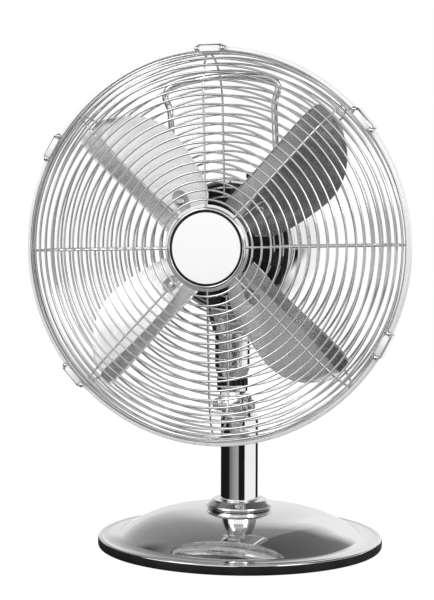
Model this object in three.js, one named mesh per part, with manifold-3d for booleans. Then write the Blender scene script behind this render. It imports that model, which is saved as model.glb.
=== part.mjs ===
// Chrome desk fan with a tilting, swivelling head and a latched wire guard.
// Millimetres, +Z up, origin at the centre of the underside of the base.
// The head blows towards -Y: a "forward" distance is measured along -Y from the post's axis.
import * as THREE from 'three';
import { mergeVertices } from 'three/addons/utils/BufferGeometryUtils.js';
import Module from 'manifold-3d';

const wasm = await Module();
wasm.setup();

// ---------------------------------------------------------------- sizes
const fit = 0.3; // clearance that touching pieces keep

const base = {
  radius: 134.3,
  bandHeight: 7.6,
  bandWidth: 7.5,
  flange: 19.3,
  flangeHeight: 9.2,
  domeRise: 25.2,
  sheet: 1.2,
  plateHeight: 5.2,
  plate: 1.2,
};
const gland = { radius: 7.5, bore: 3.4, height: 19.5, inset: 22.3, length: 28 };
const ballast = { gap: 4, height: 10 };
const post = { radius: 17.8, wall: 1.9, top: 121, plug: 14, insert: 16 };
const collar = { radius: 31.6, shoulder: 26.5, height: 9 };
const footBolt = { radius: 4, head: 6.5, headHeight: 3.2, length: 21 };

const tilt = {
  forward: 14,
  bolt: 3.2,
  boltHead: 6,
  nut: 5.8,
  nutLength: 5,
  cheek: 11.5,
  cheekWall: 4.6,
  cheekFoot: 9,
  tongue: 10,
  width: 19.4,
  disc: 1.9,
  gap: 0.8,
};
const swivel = {
  forward: 24,
  pin: 7,
  thread: 4,
  threadLength: 7,
  lift: 3.1,
  plate: 5,
  washer: 7,
  collarRadius: 14.3,
  groove: 1.4,
};
const neck = { radius: 16.3, length: 41.8, bush: 10, chamfer: 3, chamferHeight: 9 };
const saddle = { halfWidth: 25, halfDepth: 16, rise: 19.3, wing: 16 };

const housing = { radius: 61, sheet: 1.4, front: 38, back: -60, domeDepth: 24, lip: 58, lipDepth: 2 };
const vents = { count: 8, length: 15, width: 2.6, circle: 33 };
const frontPlate = { stand: 3, thickness: 5, boss: 16, bossHeight: 2.5, flange: 2.4 };
const studs = { count: 4, radius: 6, circle: 49, height: 3.1, screw: 2, cap: 7.5, capHeight: 2 };
const stator = { bore: 28.5, front: 19, back: -5, winding: 6.5, windingInner: 31.5, windingOuter: 46 };
const shaft = { radius: 4, back: -46 };
const bearing = { radius: 11, length: 5.4 };
const gearbox = { width: 44, height: 52, front: -17.5, back: -56 };
const clutch = { forward: -40, stem: 3, knob: 7, knobHeight: 11, bottom: 8 };
const speed = { spindle: 3.6, knob: 13, knobDepth: 13, switchRadius: 14, switchDepth: 13 };

const rim = { forward: 86.2, radius: 173.9, wire: 4.2 };
const wire = 2.2;
const weld = 0.45; // depth to which welded wires sink into the disc they cross
const spokes = 8;
const guardRoll = 1.3; // degrees anticlockwise
const shoulder = 130;
const front = { face: 107, firstRing: 42.6, pitch: 8.335, sidePitch: 6.7 };
const rear = { firstRing: 45.5, pitch: 8.335, sidePitch: 8 };
const band = { wall: 1.2, play: 0.5, lip: 3.5 };
const clip = {
  width: 22,
  wall: 1.2,
  hook: 2.4,
  pin: 1.5,
  pinReach: 3.1,
  pinDrop: 2.1,
  ball: 2.6,
  eye: 2.5,
  ear: 8.2,
  earWidth: 2.2,
};
const clipAngles = [0, 51, 118, 228, 301]; // degrees clockwise from the top
const lock = { angle: 170, inset: 7.4, radius: 1.8, head: 3.6, tab: 9, tabWall: 1.5 };
const cap = { radius: 36.1, crest: 2.3, badge: 31.4, plateRadius: 38.5, plateWall: 1.5, stud: 3, nut: 5.5 };

const blade = {
  count: 4,
  forward: 79,
  sheet: 1.2,
  reach: 156.5,
  belly: 33,
  straight: 41,
  rivet: 2.2,
  rivetCircle: 53,
  rootPitch: 27, // degrees
  tipPitch: 19, // degrees
  camber: 4.5,
};
const firstBlade = 38.4; // degrees anticlockwise from the right
const spider = { barrel: 12, back: 62, front: 88, armWidth: 17, armLength: 62, arm: 2.2 };
const nut = { radius: 10.5, length: 9, crown: 1.3 };
const handle = {
  radius: 3,
  roll: 3, // degrees, as the motor's screw holes let it sit
  forward: 38,
  footSet: 22,
  footAngle: 50, // degrees either side of the top
  padWidth: 12,
  padLength: 16,
  pad: 2.2,
  halfWidth: 49.5,
  legStart: 70,
  bendStart: 116,
  legEnd: 130,
  flare: 54,
  flareHeight: 141,
  top: 155.5,
  crown: 2.6,
};

// ---------------------------------------------------------------- the stack these sizes make
const domeRadius = base.radius - base.flange;
const floor = base.plateHeight + base.plate + fit;
const glandOuter = base.radius - gland.inset;
const glandInner = glandOuter - gland.length;
const boltHeight = post.top + fit + tilt.disc + tilt.gap + tilt.tongue;
const swivelSeat = boltHeight + tilt.cheek + swivel.lift + swivel.plate;
const neckBottom = swivelSeat + swivel.washer + 2 * fit;
const neckTop = neckBottom + neck.length;
const axisHeight = neckTop + saddle.rise + housing.radius;
const plateFront = housing.front + frontPlate.stand;
const studFront = plateFront + studs.height;
const rearFace = studFront + fit + wire / 2;
const bandRadius = rim.radius + rim.wire / 2 + fit + band.wall;
const bandHalf = rim.wire + 2 * fit + band.wall + band.play;
const pinRadius = bandRadius - clip.pinDrop;
const pinForward = rim.forward + bandHalf + clip.pinReach;
const lockCircle = rim.radius - lock.inset;
const hubFace = front.face - wire * 1.3 + weld; // front of the disc that the front spokes are welded to
const nutBack = spider.front + fit;
const shaftFront = nutBack + nut.length - nut.crown;

// ---------------------------------------------------------------- tools
const signedVolume = (p, index) => {
  let sum = 0;
  for (let i = 0; i < index.length; i += 3) {
    const [a, b, c] = [index[i] * 3, index[i + 1] * 3, index[i + 2] * 3];
    sum += p[a] * (p[b + 1] * p[c + 2] - p[b + 2] * p[c + 1]);
    sum += p[a + 1] * (p[b + 2] * p[c] - p[b] * p[c + 2]);
    sum += p[a + 2] * (p[b] * p[c + 1] - p[b + 1] * p[c]);
  }
  return sum / 6;
};

// A closed three.js geometry as a manifold solid with its faces outward.
function solid(geometry) {
  const plain = geometry.index ? geometry.toNonIndexed() : geometry.clone();
  plain.deleteAttribute('normal');
  plain.deleteAttribute('uv');
  const merged = mergeVertices(plain, 1e-4);
  const points = merged.attributes.position.array;
  const faces = [];
  const index = merged.index.array;
  for (let i = 0; i < index.length; i += 3) {
    const [a, b, c] = [index[i], index[i + 1], index[i + 2]];
    if (a !== b && b !== c && c !== a) faces.push(a, b, c);
  }
  if (signedVolume(points, faces) < 0) faces.reverse();
  const mesh = new wasm.Mesh({
    numProp: 3,
    vertProperties: new Float32Array(points),
    triVerts: new Uint32Array(faces),
  });
  return new wasm.Manifold(mesh);
}

const join = (...solids) => solids.reduce((whole, next) => whole.add(next));
const cut = (whole, ...cutters) => cutters.reduce((left, cutter) => left.subtract(cutter), whole);

const turn = (geometry, axis, degrees) => {
  const angle = THREE.MathUtils.degToRad(degrees);
  return geometry.applyMatrix4(new THREE.Matrix4().makeRotationAxis(axis, angle));
};
const X = new THREE.Vector3(1, 0, 0);
const Y = new THREE.Vector3(0, 1, 0);

const lathe = (profile, sides) => {
  const points = profile.map(([r, h]) => new THREE.Vector2(r, h));
  if (profile[0][0] > 0 || profile.at(-1)[0] > 0) points.push(points[0].clone());
  return new THREE.LatheGeometry(points, sides);
};
// Revolved about +Z: the profile is [radius, height].
const upright = (profile, sides) => lathe(profile, sides).rotateX(Math.PI / 2);
// Revolved about the fan's axis: the profile is [radius, forward distance].
const forwards = (profile, sides) => lathe(profile, sides).rotateX(Math.PI);

// A closed body through rows of section points; every row has the same count.
function loft(rows) {
  const n = rows[0].length;
  const faces = [];
  const quad = (a, b, c, d) => faces.push(a, b, c, a, c, d);
  for (let i = 0; i + 1 < rows.length; i += 1) {
    for (let j = 0; j < n; j += 1) {
      const k = (j + 1) % n;
      quad(i * n + j, (i + 1) * n + j, (i + 1) * n + k, i * n + k);
    }
  }
  const end = (rows.length - 1) * n;
  for (let j = 0; j + 1 <= n - 2 - j; j += 1) {
    quad(j, j + 1, n - 2 - j, n - 1 - j);
    quad(end + n - 1 - j, end + n - 2 - j, end + j + 1, end + j);
  }
  const body = new THREE.BufferGeometry().setFromPoints(rows.flat());
  body.setIndex(faces);
  return body;
}

const ring = (inner, outer, low, high) => [[inner, low], [outer, low], [outer, high], [inner, high]];
const rod = (radius, low, high) => [[0, low], [radius, low], [radius, high], [0, high]];
// A six-sided nut, revolved by the given lathe.
const hexNut = (revolve, outer, bore, low, high) =>
  cut(solid(revolve(rod(outer, low, high), 6)), solid(revolve(rod(bore, low - 1, high + 1), 10)));
// A rod along X, centred on x = 0.
const crossRod = (radius, length, sides) =>
  new THREE.CylinderGeometry(radius, radius, length, sides).rotateZ(Math.PI / 2);
// A plate of the outline [forward, up] and a thickness along X, centred on x = 0.
const sidePlate = (shape, thickness, curveSegments = 6) => {
  const plate = new THREE.ExtrudeGeometry(shape, { depth: thickness, bevelEnabled: false, curveSegments });
  plate.translate(0, 0, -thickness / 2);
  const axes = new THREE.Matrix4().makeBasis(
    new THREE.Vector3(0, -1, 0), new THREE.Vector3(0, 0, 1), new THREE.Vector3(-1, 0, 0));
  return plate.applyMatrix4(axes);
};
const box = (x, y, z, cx, cy, cz) => new THREE.BoxGeometry(x, y, z).translate(cx, cy, cz);

const finish = {
  chrome: { color: 0xe6e8ea, roughness: 0.08, metalness: 1 },
  satin: { color: 0xb9bcbf, roughness: 0.35, metalness: 1 },
  steel: { color: 0x9a9da0, roughness: 0.4, metalness: 1 },
  black: { color: 0x17181a, roughness: 0.45, metalness: 0 },
  rubber: { color: 0x1c1c1e, roughness: 0.8, metalness: 0 },
  iron: { color: 0x3d3f41, roughness: 0.7, metalness: 0.6 },
  brass: { color: 0xb08d4a, roughness: 0.35, metalness: 1 },
  copper: { color: 0xa65f35, roughness: 0.4, metalness: 1 },
  white: { color: 0xf4f4f3, roughness: 0.35, metalness: 0 },
};

const fan = new THREE.Group();
const head = new THREE.Group();
head.position.z = axisHeight;
const blades = new THREE.Group();
head.add(blades);
fan.add(head);

function place(parent, name, shape, look) {
  let geometry = shape;
  if (!shape.isBufferGeometry) {
    const { vertProperties, triVerts } = shape.getMesh();
    geometry = new THREE.BufferGeometry();
    geometry.setAttribute('position', new THREE.BufferAttribute(new Float32Array(vertProperties), 3));
    geometry.setIndex(new THREE.BufferAttribute(new Uint32Array(triVerts), 1));
  }
  geometry.computeVertexNormals();
  const mesh = new THREE.Mesh(geometry, new THREE.MeshStandardMaterial(finish[look]));
  mesh.name = name;
  parent.add(mesh);
  return mesh;
}

// ---------------------------------------------------------------- base
// Height of the pressed cover over the table: a shallow saucer that rolls over into its flange.
const coverTop = (r) => {
  const inside = Math.max(0, 1 - (r / domeRadius) ** 5.1);
  return base.flangeHeight + base.domeRise * inside ** 1.43;
};

function addBase() {
  const { radius, bandHeight, bandWidth, sheet } = base;
  const bore = post.radius + fit;
  const bandProfile = [
    [radius - bandWidth, 0], [radius - 0.8, 0], [radius, 0.8],
    [radius, bandHeight - 0.6], [radius - 0.6, bandHeight], [radius - bandWidth, bandHeight],
  ];
  place(fan, 'edge_band', solid(upright(bandProfile, 32)), 'rubber');

  const seat = bandHeight + fit;
  const stations = [0.5, 0.68, 0.81, 0.91, 1].map((share) => share * domeRadius);
  const outside = [bore, ...stations].map((r) => [r, coverTop(r)]);
  const inside = [bore, ...stations.slice(0, 3), stations.at(-1)].map((r) => [r, coverTop(r) - sheet]);
  const lip = [[radius - 3, base.flangeHeight - 0.1], [radius - 1.2, seat + 0.8], [radius - 0.8, seat]];
  const under = [[radius - 5, seat]];
  const cover = solid(upright([...outside, ...lip, ...under, ...inside.reverse()], 32));
  const way = forwards(rod(gland.radius + fit, -glandOuter - gland.length, -glandInner), 10);
  place(fan, 'base_cover', cut(cover, solid(way.translate(0, 0, gland.height))), 'chrome');

  const slab = ring(bore, glandInner - ballast.gap, floor, floor + ballast.height);
  place(fan, 'base_weight', solid(upright(slab, 24)), 'iron');

  const plateOuter = radius - bandWidth - fit;
  const plate = ring(footBolt.radius + fit, plateOuter, base.plateHeight, base.plateHeight + base.plate);
  place(fan, 'base_plate', solid(upright(plate, 32)), 'steel');

  const glandRing = ring(gland.bore, gland.radius, -glandOuter, -glandInner);
  place(fan, 'cable_gland', solid(forwards(glandRing, 10).translate(0, 0, gland.height)), 'black');
}

function addPost() {
  const inner = post.radius - post.wall;
  place(fan, 'post_tube', solid(upright(ring(inner, post.radius, floor, post.top), 24)), 'chrome');

  const foot = coverTop(collar.radius) + fit;
  const bore = post.radius + fit;
  const collarProfile = [
    [bore, foot], [collar.radius - 1.4, foot], [collar.radius, foot + 2.6],
    [collar.radius, foot + 3.6], [collar.shoulder, foot + 6.2], [bore, foot + collar.height],
  ];
  place(fan, 'post_collar', solid(upright(collarProfile, 24)), 'chrome');

  const insert = ring(footBolt.radius + fit, inner - fit, floor, floor + post.insert);
  place(fan, 'post_insert', solid(upright(insert, 12)), 'steel');

  const headTop = base.plateHeight - fit;
  const boltHead = solid(upright(rod(footBolt.head, headTop - footBolt.headHeight, headTop), 6));
  const boltShank = solid(upright(rod(footBolt.radius, headTop - 1, headTop + footBolt.length), 12));
  place(fan, 'foot_bolt', join(boltHead, boltShank), 'steel');
}

const boltWay = () => {
  const way = crossRod(tilt.bolt + fit, 3 * tilt.width, 10);
  return solid(way.translate(0, -tilt.forward, boltHeight));
};

// Cap of the post: a plug in the tube and a fork whose two cheeks lean forward to the tilt bolt.
function addPostCap() {
  const inner = post.radius - post.wall - fit;
  const flange = post.top + fit;
  const plug = solid(upright(rod(inner, post.top - post.plug, flange + 1), 12));
  const disc = solid(upright(rod(post.radius, flange, flange + tilt.disc), 24));
  const shape = new THREE.Shape();
  shape.moveTo(-tilt.cheekFoot, flange + 0.4);
  shape.lineTo(tilt.forward, boltHeight - tilt.cheek);
  shape.absarc(tilt.forward, boltHeight, tilt.cheek, -Math.PI / 2, THREE.MathUtils.degToRad(150), false);
  shape.closePath();
  const gap = tilt.width + 2 * fit;
  const cheek = (side) => {
    const plate = sidePlate(shape, tilt.cheekWall);
    plate.translate(side * (gap + tilt.cheekWall) / 2, 0, 0);
    return solid(plate);
  };
  const bore = boltWay();
  place(fan, 'post_cap', cut(join(plug, disc, cheek(-1), cheek(1)), bore), 'chrome');
}

function addTiltBolt() {
  const half = tilt.width / 2 + fit + tilt.cheekWall;
  const tail = half + fit + tilt.nutLength + 1.7;
  const end = half + fit + 3.6;
  const profile = [[0, -tail], [tilt.bolt, -tail], [tilt.bolt, half + fit], [tilt.boltHead, half + fit],
    [tilt.boltHead, end - 1.2], [tilt.boltHead - 1.2, end], [0, end]];
  const bolt = solid(upright(profile, 10).rotateY(Math.PI / 2).rotateX(Math.PI / 2));
  place(fan, 'tilt_bolt', bolt.translate([0, -tilt.forward, boltHeight]), 'chrome');

  const nutAt = -half - fit - tilt.nutLength / 2;
  const nutBody = solid(crossRod(tilt.nut, tilt.nutLength, 6).translate(nutAt, 0, 0));
  const nutBore = solid(crossRod(tilt.bolt + fit, 2 * tilt.nutLength, 10).translate(nutAt, 0, 0));
  place(fan, 'tilt_nut', cut(nutBody, nutBore).translate([0, -tilt.forward, boltHeight]), 'chrome');
}

// ---------------------------------------------------------------- tilting knuckle
const pinTop = neckTop - 3;
const threadTop = pinTop + swivel.threadLength;

function addKnuckle() {
  const plateTop = swivelSeat;
  const plateBottom = plateTop - swivel.plate;
  const shape = new THREE.Shape();
  shape.moveTo(swivel.forward + swivel.collarRadius - 3, plateBottom + 1);
  shape.lineTo(swivel.forward - swivel.collarRadius + 3, plateBottom + 1);
  shape.lineTo(tilt.forward - tilt.tongue, boltHeight);
  shape.absarc(tilt.forward, boltHeight, tilt.tongue, Math.PI, THREE.MathUtils.degToRad(325), false);
  shape.closePath();
  const tongue = solid(sidePlate(shape, tilt.width));
  const disc = upright(rod(swivel.collarRadius, plateBottom, plateTop), 20);
  const platform = solid(disc.translate(0, -swivel.forward, 0));
  const pinProfile = [[0, plateTop - 1], [swivel.pin, plateTop - 1], [swivel.pin, pinTop],
    [swivel.thread, pinTop], [swivel.thread, threadTop], [0, threadTop]];
  const pin = solid(upright(pinProfile, 12).translate(0, -swivel.forward, 0));
  const bore = boltWay();
  place(fan, 'knuckle', cut(join(tongue, platform, pin), bore), 'satin');

  place(fan, 'thrust_ring', thrustRing(), 'black');

  const nutBore = swivel.thread + fit;
  const swivelNut = hexNut(upright, 2 * swivel.thread, nutBore, pinTop + fit, threadTop - 1);
  place(fan, 'swivel_nut', swivelNut.translate([0, -swivel.forward, 0]), 'steel');
}

// The finned plastic washer that the neck turns on.
function thrustRing() {
  const fins = 18;
  const shape = new THREE.Shape();
  for (let i = 0; i < fins; i += 1) {
    const step = (2 * Math.PI) / fins;
    const [crest, valley] = [swivel.collarRadius, swivel.collarRadius - swivel.groove];
    const points = [[0, crest], [0.5, crest], [0.5, valley], [1, valley]];
    for (const [turnPart, radius] of points) {
      const angle = (i + turnPart) * step;
      const [x, y] = [radius * Math.cos(angle), radius * Math.sin(angle)];
      if (i === 0 && turnPart === 0) shape.moveTo(x, y);
      else if (turnPart < 1 || i < fins - 1) shape.lineTo(x, y);
    }
  }
  shape.closePath();
  const hole = new THREE.Path().absarc(0, 0, swivel.pin + fit, 0, 2 * Math.PI, true);
  shape.holes.push(hole);
  const low = swivelSeat + fit;
  const depth = swivel.washer;
  const body = new THREE.ExtrudeGeometry(shape, { depth, bevelEnabled: false, curveSegments: 8 });
  return solid(body.translate(0, -swivel.forward, low));
}

// ---------------------------------------------------------------- neck and motor
function addNeck() {
  const toHead = (geometry) => geometry.translate(0, -swivel.forward, -axisHeight);
  const sleeve = [
    [neck.bush + fit, neckBottom], [neck.radius - neck.chamfer, neckBottom],
    [neck.radius, neckBottom + neck.chamferHeight], [neck.radius, neckTop], [neck.bush + fit, neckTop],
  ];
  place(head, 'neck_sleeve', solid(toHead(upright(sleeve, 20))), 'chrome');

  const bush = ring(swivel.pin + fit, neck.bush, neckBottom, pinTop - 0.5);
  place(head, 'swivel_bush', solid(toHead(upright(bush, 12))), 'brass');

  const { halfWidth, halfDepth } = saddle;
  const oval = new THREE.Shape().absellipse(0, 0, halfWidth, halfDepth, 0, 2 * Math.PI, false, 0);
  const low = neckTop + fit - axisHeight;
  const depth = saddle.rise + saddle.wing;
  const block = new THREE.ExtrudeGeometry(oval, { depth, bevelEnabled: false, curveSegments: 10 });
  block.translate(0, -swivel.forward, low);
  const motor = solid(forwards(rod(housing.radius + fit, housing.back, axisHeight), 24));
  const pocketTop = threadTop + 3.5 - axisHeight;
  const pocket = upright(rod(neck.bush + 1, low - 2, pocketTop), 10).translate(0, -swivel.forward, 0);
  place(head, 'neck_saddle', cut(solid(block), motor, solid(pocket)), 'chrome');
}

const domeArc = (radius, depth, steps) => {
  const points = [];
  for (let i = 0; i <= steps; i += 1) {
    const angle = (i / steps) * Math.PI * 0.47;
    points.push([radius * Math.cos(angle), housing.back - depth * Math.sin(angle)]);
  }
  return points;
};

const studAngle = (i) => 13.5 + (i * 360) / studs.count;

function addMotor() {
  const { radius, sheet } = housing;
  const innerRadius = radius - sheet;
  const hole = speed.spindle + fit;
  const rearOuter = housing.back - housing.domeDepth;
  const shell = [
    [housing.lip, housing.front - housing.lipDepth], [housing.lip, housing.front],
    [radius - 0.8, housing.front], [radius, housing.front - 0.8],
    ...domeArc(radius, housing.domeDepth, 4), [hole, rearOuter],
    [hole, rearOuter + sheet], ...domeArc(innerRadius, housing.domeDepth - sheet, 3).reverse(),
    [innerRadius, housing.front - housing.lipDepth],
  ];
  const slit = (i) => {
    const depth = 1.1 * housing.domeDepth;
    const cutter = box(vents.length, depth, vents.width, vents.circle, 0.7 * depth - housing.back, 0);
    return solid(turn(cutter, Y, ((i + 0.5) * 360) / vents.count));
  };
  const rodWay = upright(rod(clutch.stem + fit, radius / 2, 2 * radius), 8);
  const slots = Array.from({ length: vents.count }, (_, i) => slit(i));
  const can = cut(solid(forwards(shell, 24)), solid(rodWay.translate(0, -clutch.forward, 0)));
  place(head, 'motor_housing', cut(can, ...slots), 'chrome');

  const seat = housing.front - housing.lipDepth - fit;
  const disc = [
    [bearing.radius + fit, seat - frontPlate.flange], [innerRadius - fit, seat - frontPlate.flange],
    [innerRadius - fit, seat], [housing.lip - fit, seat], [housing.lip - fit, plateFront],
    [frontPlate.boss, plateFront], [frontPlate.boss, plateFront + frontPlate.bossHeight],
    [bearing.radius + fit, plateFront + frontPlate.bossHeight],
  ];
  let plate = solid(forwards(disc, 24));
  const plateBack = plateFront - frontPlate.thickness;
  for (let i = 0; i < studs.count; i += 1) {
    const stud = forwards(rod(studs.radius, plateBack, studFront), 8).translate(studs.circle, 0, 0);
    plate = plate.add(solid(turn(stud, Y, studAngle(i))));
    const way = forwards(rod(studs.screw + fit, plateBack - 3, studFront + 3), 8);
    plate = plate.subtract(solid(turn(way.translate(studs.circle, 0, 0), Y, studAngle(i))));
  }
  place(head, 'motor_front_plate', plate, 'black');

  const core = ring(stator.bore, innerRadius - fit, stator.back, stator.front);
  place(head, 'stator_core', solid(forwards(core, 24)), 'steel');
  const { windingInner, windingOuter } = stator;
  const frontCoil = ring(windingInner, windingOuter, stator.front + fit, stator.front + stator.winding);
  place(head, 'front_winding', solid(forwards(frontCoil, 16)), 'copper');
  const rearCoil = ring(windingInner, windingOuter, stator.back - stator.winding, stator.back - fit);
  place(head, 'rear_winding', solid(forwards(rearCoil, 16)), 'copper');

  const frontSeat = plateFront - bearing.length / 2;
  const frontBearing = ring(shaft.radius + fit, bearing.radius, frontSeat, frontSeat + bearing.length);
  place(head, 'front_bearing', solid(forwards(frontBearing, 12)), 'brass');
  const rearSeat = gearbox.front - fit;
  const rearBearing = ring(shaft.radius + fit, bearing.radius, rearSeat - bearing.length, rearSeat);
  place(head, 'rear_bearing', solid(forwards(rearBearing, 12)), 'brass');

  const depth = gearbox.front - gearbox.back;
  const middle = -(gearbox.front + gearbox.back) / 2;
  let gears = solid(box(gearbox.width, depth, gearbox.height, 0, middle, 0));
  const bearingWay = forwards(rod(bearing.radius + fit, rearSeat - bearing.length - fit, 0), 12);
  const shaftWay = forwards(rod(shaft.radius + fit, shaft.back - fit, 0), 10);
  gears = cut(gears, solid(bearingWay), solid(shaftWay));
  const stemWay = upright(rod(clutch.stem + fit, clutch.bottom - 2, gearbox.height), 8);
  gears = gears.subtract(solid(stemWay.translate(0, -clutch.forward, 0)));
  place(head, 'gearbox', gears, 'satin');
}

function addControls() {
  const top = housing.radius;
  const stem = upright(rod(clutch.stem, clutch.bottom, top + 5), 8);
  const crown = top + clutch.knobHeight;
  const profile = [[0, top + 1.5], [clutch.knob - 1.5, top + 1.5], [clutch.knob, top + 4],
    [clutch.knob, crown - 2], [clutch.knob - 2, crown], [0, crown]];
  const knob = join(solid(stem), solid(upright(profile, 12)));
  place(head, 'clutch_knob', knob.translate([0, -clutch.forward, 0]), 'black');

  const tail = housing.back - housing.domeDepth;
  const switchFront = gearbox.back - 1;
  const switchBack = switchFront - speed.switchDepth;
  const switchBody = ring(speed.spindle + fit, speed.switchRadius, switchBack, switchFront);
  place(head, 'speed_switch', solid(forwards(switchBody, 12)), 'black');
  const dial = [[0, tail - speed.knobDepth], [speed.knob - 2.5, tail - speed.knobDepth],
    [speed.knob, tail - speed.knobDepth + 3], [speed.knob + 1, tail - 1.5], [0, tail - 1.5]];
  const spindle = rod(speed.spindle, tail - 3, switchFront - 4);
  const pointerAt = speed.knobDepth / 2 + 2 - tail;
  const pointer = box(2.4, speed.knobDepth - 3, 6, 0, pointerAt, speed.knob - 1.5);
  const turnable = join(solid(forwards(dial, 16)), solid(forwards(spindle, 8)), solid(pointer));
  place(head, 'speed_knob', turnable, 'black');
}

// ---------------------------------------------------------------- wire guard
// Centre line of one guard's rings from its face round the shoulder to the rim: [radius, forward].
function guardLine(face, inner, rimForward) {
  const line = new THREE.Path();
  const way = Math.sign(face - rimForward);
  const depth = Math.abs(face - rimForward);
  line.moveTo(inner, face);
  line.lineTo(shoulder, face);
  const start = way > 0 ? Math.PI / 2 : -Math.PI / 2;
  line.absellipse(shoulder, rimForward, rim.radius - shoulder, depth, start, 0, way > 0);
  return line;
}

const guardSides = 32;
const ringSides = (radius) => (radius < 0.8 * shoulder ? 16 : 24);

// A ring of wire whose section comes to a ridge on the side where the spokes cross it.
function wireRing({ x, y }, { x: tx, y: ty }, way) {
  const h = wire / 2;
  const at = (along, inward) => [x + tx * along + ty * way * inward, y + ty * along - tx * way * inward];
  const sides = ringSides(x);
  const loop = forwards([at(0, h), at(1.1 * h, -h), at(-1.1 * h, -h)], sides);
  return solid(turn(loop, Y, 180 / sides));
}

// The thick wire that ends each guard and lies in the rim band.
function rimRing(forward) {
  const h = rim.wire / 2;
  const section = [[rim.radius - h, forward], [rim.radius, forward - h],
    [rim.radius + h, forward], [rim.radius, forward + h]];
  return solid(forwards(section, guardSides));
}

// Where rings sit along the line: one pitch over the face, another round the shoulder.
function ringPlaces(line, inner, { firstRing, pitch, sidePitch }) {
  const length = line.getLength();
  const places = [];
  let distance = firstRing - inner;
  while (distance < length - sidePitch * 0.6) {
    places.push(distance / length);
    distance += distance + inner > shoulder ? sidePitch : pitch;
  }
  return places;
}

// A spoke is a wire on the inner side of the rings, bent to touch each one along its ridge.
function spokeWire(line, places, way) {
  const bends = [0, ...places.filter((t) => line.getPoint(t).x > shoulder - 9), 1];
  const rows = bends.map((t) => {
    const point = line.getPoint(t);
    const tangent = line.getTangent(Math.min(t, 0.999));
    if (t === 1) point.addScaledVector(tangent, 0.7);
    const at = (inward, side) =>
      new THREE.Vector3(point.x + tangent.y * way * inward, -(point.y - tangent.x * way * inward), side);
    return [at(wire * 0.3, 0), at(wire * 1.3, wire * 0.55), at(wire * 1.3, -wire * 0.55)];
  });
  return solid(loft(rows));
}

// Concentric rings joined by eight spokes.
function guard(side, face, inner) {
  const way = Math.sign(face - rim.forward);
  const rimForward = rim.forward + way * (rim.wire / 2 + fit);
  const line = guardLine(face, inner, rimForward);
  const places = ringPlaces(line, inner, side);
  const rings = places.map((t) => wireRing(line.getPoint(t), line.getTangent(t), way));
  const spoke = spokeWire(line, places, way);
  const crossing = Array.from({ length: spokes }, (_, i) => spoke.rotate([0, (i * 360) / spokes, 0]));
  return join(...rings, ...crossing).rotate([0, -guardRoll, 0]).add(rimRing(rimForward));
}

// Ears on both guards take the screw that locks them together.
const lockTab = (forward) => {
  const low = lockCircle - lock.tab / 2;
  const tab = box(lock.tab, lock.tabWall, rim.radius - low, 0, -forward, (rim.radius + low) / 2);
  const hole = forwards(rod(lock.radius + fit, forward - 4, forward + 4), 10).translate(0, 0, lockCircle);
  return [solid(turn(tab, Y, lock.angle)), solid(turn(hole, Y, lock.angle))];
};

function addGuards() {
  const tabForward = fit + lock.tabWall / 2;
  const [rearTab, rearHole] = lockTab(rim.forward - tabForward);
  const rearWires = guard(rear, rearFace, rear.firstRing - wire / 2);
  place(head, 'rear_guard', cut(rearWires.add(rearTab), rearHole), 'chrome');

  const [frontTab, frontHole] = lockTab(rim.forward + tabForward);
  const disc = ring(cap.stud + fit, cap.plateRadius, hubFace - cap.plateWall, hubFace);
  const frontWires = guard(front, front.face, cap.plateRadius - wire);
  const frontWhole = join(frontWires, frontTab, solid(forwards(disc, 24)));
  place(head, 'front_guard', cut(frontWhole, frontHole), 'chrome');

  const headBack = rim.forward + 2 * fit + lock.tabWall;
  const screw = [[0, rim.forward - 8], [lock.radius, rim.forward - 8], [lock.radius, headBack],
    [lock.head, headBack], [lock.head, headBack + 2.2], [0, headBack + 2.2]];
  const screwBody = solid(forwards(screw, 8).translate(0, 0, lockCircle));
  const screwMesh = place(head, 'lock_screw', screwBody, 'steel');
  screwMesh.rotation.y = THREE.MathUtils.degToRad(lock.angle);

  const capBack = rearFace + wire / 2 + fit;
  const capFront = capBack + studs.capHeight;
  const fixing = [
    [0, studFront - 8], [studs.screw, studFront - 8], [studs.screw, capBack],
    [studs.cap, capBack], [studs.cap, capFront - 0.6], [studs.cap - 1, capFront], [0, capFront],
  ];
  for (let i = 0; i < studs.count; i += 1) {
    const shape = solid(forwards(fixing, 10).translate(studs.circle, 0, 0));
    const mesh = place(head, `guard_screw_${i + 1}`, shape, 'black');
    mesh.rotation.y = THREE.MathUtils.degToRad(studAngle(i));
  }
}

function addHubCap() {
  const low = hubFace + fit;
  const crest = low + cap.crest;
  const seat = cap.badge + fit;
  const plateBack = hubFace - cap.plateWall;
  const studEnd = plateBack - fit - 2;
  const bezel = [
    [0, studEnd], [cap.stud, studEnd], [cap.stud, low], [cap.radius, low], [cap.radius, low + 1.2],
    [cap.radius - 1.2, crest], [seat + 1, crest], [seat, crest - 0.8], [seat, low + 0.8], [0, low + 0.8],
  ];
  place(head, 'hub_bezel', solid(forwards(bezel, 24)), 'chrome');
  place(head, 'hub_badge', solid(forwards(rod(cap.badge, low + 0.8 + fit, crest - 0.5), 24)), 'white');
  place(head, 'hub_nut', hexNut(forwards, cap.nut, cap.stud + fit, studEnd, plateBack - fit), 'steel');
}

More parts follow.
